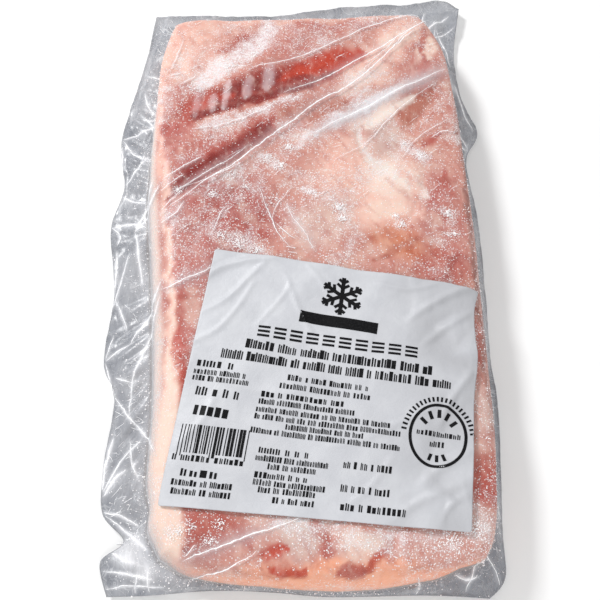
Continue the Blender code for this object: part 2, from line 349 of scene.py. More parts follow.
# Bands, streaks and marks: colour, half width, strength, then the points each runs through.
MEAT_STREAKS = [
    ("rose", 14, 0.8, [(-120, 60), (-112, 100), (-108, 140)]),
    ("lean", 17, 0.95, [(-118, 92), (-92, 122), (-60, 136), (-25, 152), (15, 165), (42, 178)]),
    ("lean_deep", 12, 1.0, [(-78, 124), (-60, 136), (-40, 146), (-14, 153), (8, 160)]),
    ("vivid", 14, 1.0, [(-14, 150), (14, 160), (32, 171), (54, 184)]),
    ("lean_deep", 5, 0.8, [(-16, 144), (10, 153), (30, 160)]),
    ("vivid", 5, 0.6, [(-96, 116), (-78, 128), (-62, 132)]),
    ("lean_deep", 5, 1.0, [(-97, 104), (-80, 109), (-60, 118), (-30, 131), (0, 140), (14, 150)]),
    ("lean", 15, 0.9, [(-118, 26), (-100, 44), (-75, 64), (-45, 84), (-28, 98)]),
    ("lean_deep", 9, 1.0, [(-116, 20), (-100, 38), (-82, 51), (-57, 70), (-36, 90), (-30, 98)]),
    ("lean", 8, 0.7, [(-70, -8), (-46, -7), (-26, -14)]),
    ("lean", 8, 0.6, [(-95, 18), (-76, 8), (-58, -12)]),
    ("lean", 7, 0.5, [(-52, 30), (-40, 18), (-32, 2)]),
    ("lean", 6, 0.7, [(-99, -40), (-97, -75), (-93, -120), (-89, -160), (-91, -210)]),
    ("vivid", 4, 0.5, [(-96, -95), (-92, -130), (-90, -150)]),
    ("lean", 8, 0.8, [(-70, 186), (-62, 196), (-50, 206)]),
    ("salmon", 10, 0.6, [(-100, 160), (-85, 185), (-70, 208)]),
    ("brown_red", 4, 0.8, [(92, 96), (104, 112), (116, 128), (130, 150)]),
    ("lean", 4, 0.6, [(84, 110), (98, 126), (110, 146)]),
    ("lean", 6, 0.6, [(104, 150), (116, 176), (120, 214)]),
    ("fat", 3, 0.7, [(96, 140), (108, 162), (112, 186)]),
    ("lean", 5, 0.8, [(110, 78), (118, 84), (126, 92)]),
    ("brown_red", 5, 0.7, [(60, -36), (78, -30), (98, -14)]),
    ("brown_red", 9, 0.9, [(92, 104), (102, 124), (110, 138)]),
    ("rose", 9, 0.9, [(104, 142), (111, 156), (117, 176)]),
    ("brown_red", 7, 0.8, [(8, 106), (28, 116), (46, 125)]),
    ("brown_red", 8, 0.7, [(-14, 104), (8, 118), (34, 132)]),
    ("lean", 5, 0.7, [(112, 18), (120, 32), (126, 46)]),
    ("fat_white", 5, 0.8, [(60, 96), (80, 112), (104, 130)]),
    ("fat_white", 6, 0.7, [(58, 62), (74, 50), (96, 36), (108, 22)]),
    ("fat_peach", 4, 0.7, [(88, 52), (100, 30), (100, 0)]),
    ("lean_deep", 4, 0.5, [(116, -62), (122, -40), (130, -30)]),
    ("vivid", 4, 0.9, [(-27, -262), (-18, -260), (-8, -256)]),
    ("vivid", 4, 0.9, [(-16, -269), (-6, -270), (4, -268)]),
    ("vivid", 3.5, 0.8, [(46, -268), (52, -262), (58, -256)]),
    ("lean", 5, 0.9, [(28, -272), (36, -271), (44, -270)]),
    ("lean", 5, 0.8, [(12, -240), (17, -250), (20, -262)]),
    ("lean_deep", 4, 0.6, [(-90, -236), (-84, -250), (-72, -260)]),
    ("lean", 5, 0.6, [(-58, -238), (-40, -246), (-34, -256)]),
]
# Pale rib marks across the dark band, and pale flecks and smears of fat.
FAT_MARKS = [
    ("rime", 3.6, 0.30, [(-95, 108), (-91, 146)]), ("rime", 3.6, 0.36, [(-80, 112), (-79, 133)]),
    ("rime", 3.4, 0.48, [(-69, 116), (-66, 150)]), ("rime", 4.4, 0.36, [(-50, 128), (-46, 153)]),
    ("rime", 5.2, 0.42, [(-31, 138), (-27, 168)]),
    ("fat_white", 2.2, 0.5, [(52, 96), (53, 80), (58, 68), (66, 61), (78, 58)]),
    ("cream", 5.0, 0.8, [(120, 180), (127, 192), (126, 204)]),
]
# Frost lying on the meat: width, strength, then the points each drift runs through.
FROST_DRIFTS = [
    (12, 1.2, [(-92, 146), (-76, 162), (-58, 178), (-42, 196), (-30, 214)]),
    (9, 0.85, [(-84, 94), (-58, 104), (-34, 114), (-6, 130)]),
    (6, 0.9, [(-2, 74), (13, 92), (45, 109), (60, 118)]), (9, 0.6, [(-20, 66), (6, 80)]),
    (6, 1.2, [(28, 101), (60, 121), (84, 137), (100, 146)]), (7, 0.7, [(-75, 25), (-62, 32)]),
    (6, 0.8, [(-16, -239), (0, -241), (60, -247), (110, -250)]),
    (7, 0.8, [(-66, 48), (-56, 42)]), (8, 0.8, [(-34, 62), (-22, 60)]),
    (6, 0.6, [(-12, 76), (-4, 70)]), (7, 0.7, [(-70, -14), (-60, -16)]),
    (9, 0.8, [(-54, -20), (-36, -28)]), (6, 0.8, [(31, 17), (36, 4)]),
    (5, 0.8, [(4, 30), (12, 22)]), (7, 0.9, [(79, -2), (88, -9)]), (6, 0.7, [(122, 8), (126, 0)]),
    (9, 0.4, [(128, -60), (131, -20), (134, 10)]), (5, 0.6, [(-88, -246), (-80, -246)]),
    (5, 0.6, [(-62, -253), (-56, -249)]), (8, 0.7, [(-6, -244), (8, -250)]),
    (7, 0.8, [(34, -250), (46, -252)]), (8, 0.7, [(100, -256), (120, -250)]),
    (7, 0.8, [(124, -236), (122, -246)]), (6, 0.5, [(-20, 190), (0, 200)]),
    (8, 0.5, [(-100, 190), (-106, 160)]), (7, 0.6, [(134, -150), (134, -180)]),
    (5, 0.6, [(40, 120), (56, 132)]), (6, 0.5, [(-50, 14), (-30, 30)]),
    (12, 0.6, [(-100, -10), (-104, -30)]), (10, 0.45, [(0, 20), (20, -10), (40, -30)]),
    (7, 0.9, [(90, 82), (98, 74), (108, 64)]), (4, 0.9, [(86, 68), (96, 74)]),
    (4, 0.8, [(52, 98), (53, 80), (58, 68), (68, 60)]), (6, 0.8, [(44, 114), (52, 126), (62, 138)]),
    (13, 0.6, [(52, 44), (72, 50), (92, 44)]), (12, 0.5, [(96, 24), (90, 0)]),
    (18, 0.6, [(30, -258), (110, -256)]),
    (7, 0.6, [(-108, 60), (-90, 66), (-70, 84)]), (12, 0.5, [(-110, 150), (-80, 190)]),
    (16, 0.5, [(-10, 196), (30, 206)]), (5, 0.8, [(-96, 26), (-70, 40), (-48, 52)]),
]
# Bare meat with hardly any frost on it: width, strength, then the points along it.
BARE_MEAT = [
    (17, 0.95, [(-60, 134), (-14, 153), (22, 164), (46, 180)]), (6, 0.85, [(-90, 106), (0, 141)]),
    (11, 0.92, [(-112, 24), (-82, 51), (-50, 74), (-34, 92)]), (18, 0.7, [(66, -34), (92, -18)]),
    (12, 0.55, [(-118, 60), (-110, 90), (-100, 120)]), (11, 0.8, [(96, 112), (106, 142), (113, 176)]),
    (10, 0.5, [(104, -30), (124, -44)]), (10, 0.5, [(-38, -250), (-10, -262)]),
    (8, 0.5, [(134, -60), (137, 0), (136, 60)]),
    (9, 0.5, [(-8, 108), (34, 134)]), (9, 0.5, [(128, -190), (132, -120)]),
    (10, 0.4, [(-92, -236), (-50, -248), (-30, -258)]),
    (20, 0.6, [(66, 8), (84, 20)]), (9, 0.8, [(-16, -270), (60, -270)]),
    (14, 0.5, [(16, 60), (40, 70)]), (10, 0.6, [(-98, -70), (-92, -200)]),
    (16, 0.4, [(76, 176), (96, 206)]),
]


def paint_meat(place, height, out):
    """The meat's colour and how frosty it is, at places in millimetres."""
    wander = np.column_stack([mottle(place, 16, 31), mottle(place, 16, 41)])
    fine = np.column_stack([mottle(place, 5, 51), mottle(place, 5, 61)])
    brushed = place + 5.0 * wander + 1.8 * fine
    tint = np.tile(paint_shade(*MEAT_COLOURS["salmon"]), (len(place), 1))

    def lay(colour, share):
        share = np.clip(share, 0, 1)[:, None]
        tint[:] = tint * (1 - share) + paint_shade(*MEAT_COLOURS[colour]) * share

    for colour, middle, (across, along), turn, strength in MEAT_FIELDS:
        x, y = (brushed - middle).T
        c, s = math.cos(math.radians(turn)), math.sin(math.radians(turn))
        lay(colour, strength * soft_step(1.45 - np.hypot((x * c + y * s) / across,
                                                         (y * c - x * s) / along), 0, 0.9))
    lay("cream", 0.32 * soft_step(mottle(place, 22, 201), 0.1, 0.8))
    lay("lean", 0.25 * soft_step(mottle(place, 15, 211), 0.15, 0.9))
    for colour, width, strength, route in MEAT_STREAKS + FAT_MARKS:
        soft = colour in ("rime", "fat_white")
        gap, share = distance_to(route, place + 1.4 * fine if soft else brushed)
        taper = 0.45 + 0.55 * np.sin(np.pi * share) ** 0.5
        lay(colour, strength * soft_step(1.6 - gap / (width * taper), 0, 1.25))

    # Fibres and flecks of fat, and the fat edge that runs down the left side.
    fibre = mottle(np.column_stack([place[:, 0] * 0.8 + place[:, 1] * 0.6,
                                    place[:, 0] * -0.15 + place[:, 1] * 0.2]), 3.2, 71)
    lay("lean", 0.30 * soft_step(fibre, 0.15, 0.7))
    lay("fat", 0.16 * soft_step(-fibre, 0.2, 0.7))
    rim, share = distance_to(SLAB_TOP["left"], brushed)
    lower = soft_step(90 - place[:, 1], 0, 110)
    wide = 9 * soft_step(-100 - place[:, 1], 0, 90)
    lay("fat_peach", 0.75 * soft_step(6 + wide - rim, 0, 5))
    lay("cream", 0.8 * soft_step(3.5 + wide - rim, 0, 5) * lower)
    far, share = distance_to(SLAB_TOP["far"], brushed)
    lay("fat_peach", 0.6 * soft_step(10 - far, 0, 8))
    # Painted shade: the strip along the right edge is laid dark brown. It is partly the meat and partly
    # the shade where the top turns down, away from the light.
    right, share = distance_to(SLAB_TOP["right"], brushed)
    lay("side_brown_and_shade", 0.6 * soft_step(5 - right, 0, 5) * soft_step(place[:, 1], -190, -120)
        * soft_step(150 - place[:, 1], 0, 60))

    # Down the sides: fat on the left, dark brown on the right that is partly lean and partly painted
    # shade, then pale skin at the foot.
    low = soft_step(0.036 - height, 0, 0.010) * (out > 0)
    to_left = soft_step(-place[:, 0], 70, 100)
    lay("fat_peach", low * to_left * 0.8)
    lay("cream", low * to_left * 0.85 * soft_step(190 - place[:, 1], 0, 70))
    lay("side_brown_and_shade", low * soft_step(place[:, 0], 100, 130) * 0.8)
    lay("orange_fat", low * soft_step(-place[:, 1], 200, 250) * (1 - to_left) * 0.8)
    lay("fat_peach", low * soft_step(place[:, 1], 170, 210) * 0.6)
    lay("skin", soft_step(0.010 - height, 0, 0.003) * (out > 0))

    frost = 0.35 + 0.30 * mottle(place, 22, 81) + 0.26 * mottle(place, 7, 91)
    for width, strength, route in FROST_DRIFTS:
        gap, share = distance_to(route, brushed)
        drift = strength * hump(gap, 1.2 * width) * (0.85 + 0.35 * mottle(place, 5, 95))
        frost = np.maximum(frost, drift)
    for width, strength, route in BARE_MEAT:
        gap, share = distance_to(route, brushed)
        frost = frost * (1 - strength * soft_step(1.5 - gap / width, 0, 1))
    return tint, np.clip(frost, 0, 1)


tint, frost = paint_meat(np.where(on_top[:, None], place, side), height, out)
store(slab, "tint", np.column_stack([tint, np.ones(len(tint))]))
store(slab, "frost", frost)


class Nodes:
    """A small hand for laying out a material's nodes."""

    def __init__(self, tree):
        self.tree = tree

    def add(self, kind, **values):
        node = self.tree.nodes.new(kind)
        for name, value in values.items():
            setattr(node, name, value)
        return node

    def set(self, socket, value):
        if isinstance(value, bpy.types.NodeSocket):
            self.tree.links.new(value, socket)
        else:
            socket.default_value = value

    def math(self, operation, *values, clamp=False):
        node = self.add("ShaderNodeMath", operation=operation, use_clamp=clamp)
        for socket, value in zip(node.inputs, values):
            self.set(socket, value)
        return node.outputs[0]

    def ramp(self, value, low, high, bottom=0.0, top=1.0):
        node = self.add("ShaderNodeMapRange", interpolation_type="SMOOTHSTEP")
        for socket, number in zip(node.inputs, (value, low, high, bottom, top)):
            self.set(socket, number)
        return node.outputs[0]

    def mix(self, share, low, high, blend="MIX"):
        node = self.add("ShaderNodeMix", data_type="RGBA", blend_type=blend)
        for socket, value in zip((node.inputs[0], node.inputs[6], node.inputs[7]),
                                 (share, low, high)):
            self.set(socket, value)
        return node.outputs[2]

    def noise(self, scale, detail=3.0, roughness=0.55, stretch=(1, 1, 1), turn=0.0, distort=0.0):
        coord = self.add("ShaderNodeTexCoord")
        mapping = self.add("ShaderNodeMapping")
        mapping.inputs["Scale"].default_value = stretch
        mapping.inputs["Rotation"].default_value = (0, 0, turn)
        self.set(mapping.inputs["Vector"], coord.outputs["Object"])
        node = self.add("ShaderNodeTexNoise")
        self.set(node.inputs["Vector"], mapping.outputs[0])
        for name, value in (("Scale", scale), ("Detail", detail), ("Roughness", roughness),
                            ("Distortion", distort)):
            self.set(node.inputs[name], value)
        return node.outputs["Fac"]

    def grains(self, scale):
        coord = self.add("ShaderNodeTexCoord")
        node = self.add("ShaderNodeTexVoronoi")
        self.set(node.inputs["Vector"], coord.outputs["Object"])
        node.inputs["Scale"].default_value = scale
        return node.outputs["Distance"], node.outputs["Color"]

    def read(self, name):
        node = self.add("ShaderNodeAttribute", attribute_type="GEOMETRY", attribute_name=name)
        return node

    def bump(self, height, distance, strength=1.0):
        node = self.add("ShaderNodeBump")
        node.inputs["Strength"].default_value = strength
        node.inputs["Distance"].default_value = distance
        self.set(node.inputs["Height"], height)
        return node.outputs["Normal"]


def new_material(name):
    material = bpy.data.materials.new(name)
    material.use_nodes = True
    hand = Nodes(material.node_tree)
    return material, hand, material.node_tree.nodes["Principled BSDF"]


def frost_specks():
    """Fine crystals over a surface: a mask of white specks, denser where it is frostier."""
    group = bpy.data.node_groups.new("frost_specks", "ShaderNodeTree")
    group.interface.new_socket("Frost", in_out="INPUT", socket_type="NodeSocketFloat")
    group.interface.new_socket("Size", in_out="INPUT", socket_type="NodeSocketFloat")
    group.interface.new_socket("Specks", in_out="OUTPUT", socket_type="NodeSocketFloat")
    hand = Nodes(group)
    source, result = hand.add("NodeGroupInput"), hand.add("NodeGroupOutput")
    amount, size = source.outputs["Frost"], source.outputs["Size"]
    coarse = hand.noise(900.0, 2.0, 0.6)
    fine = hand.noise(1600.0, 1.0, 0.5)
    patchy = hand.noise(110.0, 3.0, 0.6)
    level = hand.math("ADD", hand.math("MULTIPLY", amount, 0.21),
                      hand.math("MULTIPLY", hand.math("SUBTRACT", patchy, 0.5), 0.22))
    level = hand.math("SUBTRACT", 0.665, level)
    big = hand.ramp(coarse, level, hand.math("ADD", level, 0.11))
    small = hand.ramp(fine, hand.math("ADD", level, 0.02), hand.math("ADD", level, 0.12))
    both = hand.math("MAXIMUM", hand.math("MULTIPLY", big, 0.4), hand.math("MULTIPLY", small, 0.5))
    middle, chance = hand.grains(740.0)
    kept = hand.add("ShaderNodeSeparateColor")
    hand.set(kept.inputs[0], chance)
    present = hand.math("LESS_THAN", kept.outputs[0],
                        hand.math("ADD", 0.03, hand.math("MULTIPLY", amount, 1.0)))
    sugar = hand.math("MULTIPLY", present, hand.ramp(middle, 0.52, 0.30))
    both = hand.math("MAXIMUM", both, sugar)
    hand.set(result.inputs["Specks"], hand.math("MULTIPLY", both, size, clamp=True))
    return group


speck_group = frost_specks()
meat, hand, shader = new_material("frozen_pork")
tinted = hand.read("tint").outputs["Color"]
frosty = hand.read("frost").outputs["Fac"]
blotch = hand.noise(95.0, 5.0, 0.62, distort=0.6)
fibres = hand.noise(210.0, 4.0, 0.6, stretch=(1.0, 0.28, 1.0), turn=math.radians(-38))
deep = hand.mix(0.6, tinted, (0.62, 0.30, 0.24, 1), "MULTIPLY")
pale = hand.mix(0.35, tinted, (0.86, 0.70, 0.62, 1))
channels = hand.add("ShaderNodeSeparateColor")
hand.set(channels.inputs[0], tinted)
leanness = hand.ramp(channels.outputs[1], 0.55, 0.16, 0.15, 1.0)
mottling = hand.math("MULTIPLY", hand.ramp(blotch, 0.48, 0.66, 0.0, 0.75), leanness)
colour = hand.mix(mottling, tinted, deep)
colour = hand.mix(hand.ramp(fibres, 0.52, 0.70, 0.0, 0.45), colour, pale)
specks = hand.add("ShaderNodeGroup", node_tree=speck_group)
hand.set(specks.inputs["Frost"], frosty)
specks.inputs["Size"].default_value = 0.70
powder = hand.ramp(hand.noise(520.0, 4.0, 0.7), 0.38, 0.62, 0.30, 1.0)
veil = hand.math("MULTIPLY", hand.math("MULTIPLY", hand.ramp(frosty, 0.30, 1.0), 0.86), powder)
rime = hand.mix(hand.ramp(frosty, 0.50, 0.95), (0.66, 0.59, 0.60, 1), (0.88, 0.84, 0.86, 1))
colour = hand.mix(veil, colour, rime)
colour = hand.mix(specks.outputs[0], colour, (0.90, 0.86, 0.87, 1))
hand.set(shader.inputs["Base Color"], colour)
gloss = hand.math("ADD", hand.ramp(blotch, 0.35, 0.65, 0.32, 0.52),
                  hand.math("MULTIPLY", specks.outputs[0], 0.25))
hand.set(shader.inputs["Roughness"], gloss)
relief = hand.math("ADD", hand.math("MULTIPLY", fibres, 0.5), specks.outputs[0])
hand.set(shader.inputs["Normal"], hand.bump(relief, 0.0004, 0.6))
shader.inputs["Specular IOR Level"].default_value = 0.22
shader.inputs["Subsurface Weight"].default_value = 0.15
shader.inputs["Subsurface Radius"].default_value = (1.0, 0.35, 0.25)
shader.inputs["Subsurface Scale"].default_value = 0.002
slab.data.materials.append(meat)
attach(slab, "root")
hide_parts("film_bag")


# --- Frost crystals --------------------------------------------------------------------------
# Loose frost on the frozen face, under the film: thousands of small ice grains, and crusts of snow
# where it has drifted together. Each kind is one piece.

GRAIN_COUNT = 21000


def linked_piece(name, corners, faces):
    """A new piece, from its corners and faces, in the scene."""
    mesh = bpy.data.meshes.new(name)
    mesh.from_pydata(corners, [], faces)
    piece = bpy.data.objects.new(name, mesh)
    bpy.context.scene.collection.objects.link(piece)
    return piece


def ice_ball():
    """One round crystal of unit radius."""
    bpy.ops.object.select_all(action="DESELECT")
    bpy.ops.mesh.primitive_ico_sphere_add(subdivisions=1, radius=1.0)
    return bpy.context.object


def scattered(name, unit, places, sizes, rng, flatten=0.6):
    """Copies of one modelled crystal, each turned and sized at random, as one mesh."""
    corners = spots_of(unit)
    faces = np.array([list(face.vertices) for face in unit.data.polygons])
    bpy.data.objects.remove(unit)
    turns = rng.uniform(0, 2 * np.pi, (len(places), 2))
    c, s = np.cos(turns), np.sin(turns)
    x, y, z = corners.T
    y, z = y * c[:, 1:] - z * s[:, 1:], y * s[:, 1:] + z * c[:, 1:]
    x = np.broadcast_to(x, y.shape)
    x, y = x * c[:, :1] - y * s[:, :1], x * s[:, :1] + y * c[:, :1]
    stretch = rng.uniform(0.7, 1.3, (len(places), 3)) * sizes[:, None]
    points = np.stack([x * stretch[:, :1], y * stretch[:, 1:2], z * stretch[:, 2:] * flatten], 2)
    points += places[:, None, :]
    shift = (np.arange(len(places)) * len(corners))[:, None, None]
    return linked_piece(name, points.reshape(-1, 3).tolist(),
                        (faces[None] + shift).reshape(-1, faces.shape[1]).tolist())


rng = np.random.default_rng(2024)
slab_spots = spots_of(slab)
chance = np.clip(frost, 0.05, 1) ** 1.6 * (out < 9)
picked = rng.choice(len(chance), GRAIN_COUNT, p=chance / chance.sum())
grain_places = slab_spots[picked] + rng.uniform(-1, 1, (GRAIN_COUNT, 3)) * (0.0008, 0.0008, 0)
grain_places[:, 2] = slab_spots[picked, 2] + 0.00012
grain = ice_ball()
bpy.ops.object.mode_set(mode="EDIT")
bpy.ops.mesh.select_all(action="SELECT")
bpy.ops.mesh.decimate(ratio=0.4)
bpy.ops.object.mode_set(mode="OBJECT")
grains = scattered("frost_grains", grain, grain_places,
                   rng.gamma(3.0, 0.00009, GRAIN_COUNT).clip(0.00010, 0.00060), rng)

# Crusts of snow: middle, radius in millimetres and number of lumps.
CRUSTS = [
    ((-75, 25), 5, 70), ((-60, 45), 6, 90), ((-46, 33), 4, 40), ((-28, 62), 7, 130),
    ((-18, 54), 6, 110), ((-10, 75), 6, 80), ((-65, -15), 6, 80), ((-50, -22), 8, 130),
    ((-35, -28), 7, 100), ((33, 12), 6, 120), ((35, 1), 5, 90), ((8, 27), 5, 60),
    ((84, -4), 5, 100), ((80, 4), 3, 40), ((124, 6), 6, 90), ((127, -14), 6, 70),
    ((-85, -247), 6, 60), ((-75, -243), 5, 40), ((-62, -252), 5, 60), ((-55, -241), 5, 40),
    ((-97, 140), 7, 60), ((-66, 166), 8, 90), ((-104, 30), 5, 50), ((105, 66), 7, 90),
    ((93, 79), 5, 50), ((120, -244), 8, 90), ((104, -252), 8, 70), ((-22, 20), 7, 60),
]
crust_places, crust_sizes = [], []
slab_ground = BVHTree.FromObject(slab, bpy.context.evaluated_depsgraph_get())
for middle, radius, lumps in CRUSTS:
    spots = middle + rng.normal(0, 0.62 * radius, (int(1.6 * lumps), 2)) * (1.25, 0.8)
    gathered = np.exp(-(np.hypot(*(spots - middle).T) / radius) ** 2)
    for spot, thick in zip(spots, gathered):
        hit = slab_ground.ray_cast(Vector((*(spot * MM), 0.2)), Vector((0, 0, -1)))[0]
        crust_places.append((*(spot * MM), hit.z + 0.0002 + 0.0009 * thick * rng.random()))
        crust_sizes.append(0.00022 + 0.00042 * thick * rng.random())
crusts = scattered("frost_crusts", ice_ball(), np.array(crust_places), np.array(crust_sizes), rng, 0.8)

ice, hand, shader = new_material("ice_grains")
tone = hand.noise(400.0, 2.0)
hand.set(shader.inputs["Base Color"], hand.mix(hand.ramp(tone, 0.35, 0.65), (0.93, 0.91, 0.92, 1),
                                               (1.0, 0.99, 0.99, 1)))
# Painted light: a faint white glow keeps the grains and crusts white where they lie in shade under the
# film.
shader.inputs["Emission Color"].default_value = (1.0, 0.97, 0.98, 1)
shader.inputs["Emission Strength"].default_value = 0.04
hand.set(shader.inputs["Roughness"], hand.ramp(tone, 0.3, 0.7, 0.35, 0.7))
for crystals in (grains, crusts):
    crystals.data.materials.append(ice)
    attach(crystals, "root")
    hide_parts("film_bag")


# --- Clear film bag ----------------------------------------------------------------------------
# A bag of thin clear polyethylene that clings to the meat and is drawn into folds over it.
# Its loose margin lies crumpled round the slab, milky where it is doubled, with painted highlights
# along its creases and painted light and shade on its facets. It is one closed skin: over the meat,
# down the sides, across the margin and under the slab.

FILM_COLUMNS, FILM_ROWS, FILM_SIDE_RINGS, FILM_MARGIN_RINGS = 150, 286, 10, 33
RIM_HEIGHT, CREASE_HEIGHT = 0.0022, 0.0035
# Folds drawn over the meat, in millimetres: rise, half width, line width, haze, then points.
FOLDS = [
    (2.6, 4.5, 1.2, 0.20, [(-120, 8), (-100, 20), (-80, 38), (-60, 52), (-45, 65), (-20, 90),
                           (0, 108), (20, 127), (40, 138), (65, 160), (90, 190), (100, 203),
                           (139, 240)]),
    (2.2, 4.0, 1.1, 0.18, [(-15, 133), (0, 140), (20, 150), (40, 163), (60, 177), (75, 187),
                           (90, 198), (110, 213), (130, 232), (139, 240)]),
    (0.9, 2.5, 0.9, 0.12, [(-50, 157), (-40, 165), (-20, 170), (0, 178), (20, 188), (40, 200),
                           (60, 213), (80, 221), (100, 230), (137, 238)]),
    (1.9, 5.0, 1.0, 0.58, [(10, 86), (30, 100), (55, 114), (70, 124), (85, 134), (100, 143),
                           (115, 151), (137, 165)]),
    (0.5, 1.8, 0.8, 0.08, [(90, 188), (100, 200), (110, 209)]),
    (0.6, 2.0, 0.9, 0.12, [(-114, 44), (-95, 57), (-85, 63)]),
    (0.5, 2.0, 0.7, 0.08, [(-120, 30), (-100, 45)]), (0.5, 2.0, 0.7, 0.08, [(-118, 12), (-100, 28)]),
    (0.7, 3.0, 0.8, 0.20, [(-118, 0), (-105, 5), (-97, 17)]),
    (1.0, 3.5, 1.0, 0.25, [(-112, -62), (-100, -60), (-80, -50), (-68, -43)]),
    (0.4, 1.6, 0.6, 0.06, [(-62, 14), (-67, 5), (-70, -5), (-73, -15)]),
    (0.5, 1.6, 0.7, 0.08, [(-37, 35), (-33, 25), (-27, 10), (-23, 0), (-20, -10), (-8, -27)]),
    (0.4, 1.6, 0.6, 0.06, [(-7, 33), (-10, 28), (-18, 18), (-22, 8), (-23, 0)]),
    (0.4, 1.5, 0.6, 0.06, [(-20, -3), (-12, -12), (-5, -18)]),
    (0.3, 1.2, 0.6, 0.05, [(-12, -26), (-3, -27)]), (0.3, 1.2, 0.5, 0.05, [(-10, -31), (-2, -32)]),
    (0.5, 3.5, 0.5, 0.25, [(-12, 17), (-5, 0), (5, -15), (12, -30)]),
    (0.4, 1.4, 0.6, 0.06, [(-112, 197), (-120, 163)]), (0.3, 1.2, 0.6, 0.05, [(-120, 155), (-110, 158)]),
    (0.5, 1.8, 0.9, 0.10, [(-110, 143), (-100, 150), (-97, 155)]),
    (0.9, 3.5, 1.0, 0.28, [(-80, -265), (-60, -258), (-40, -250), (-10, -241), (0, -237)]),
    (0.5, 1.6, 0.7, 0.10, [(-80, -276), (-50, -270), (-28, -258)]),
    (0.3, 1.2, 0.6, 0.06, [(-78, -262), (-70, -255)]),
    (0.4, 1.5, 0.6, 0.06, [(116, 84), (126, 90), (138, 90)]),
    (0.5, 2.0, 0.7, 0.10, [(-90, 34), (-70, 44), (-50, 56)]),
    (0.5, 3.0, 0.7, 0.16, [(-110, 24), (-84, 44), (-60, 60), (-45, 74)]),
    (0.4, 1.6, 0.6, 0.06, [(60, 168), (80, 184), (94, 202)]),
    (0.4, 1.8, 0.6, 0.06, [(-96, 92), (-70, 96), (-44, 108), (-20, 122)]),
    (0.4, 1.5, 0.6, 0.05, [(30, 60), (60, 80), (86, 112), (128, 150)]),
    (0.4, 1.5, 0.5, 0.05, [(88, 60), (104, 84), (132, 104)]),
]
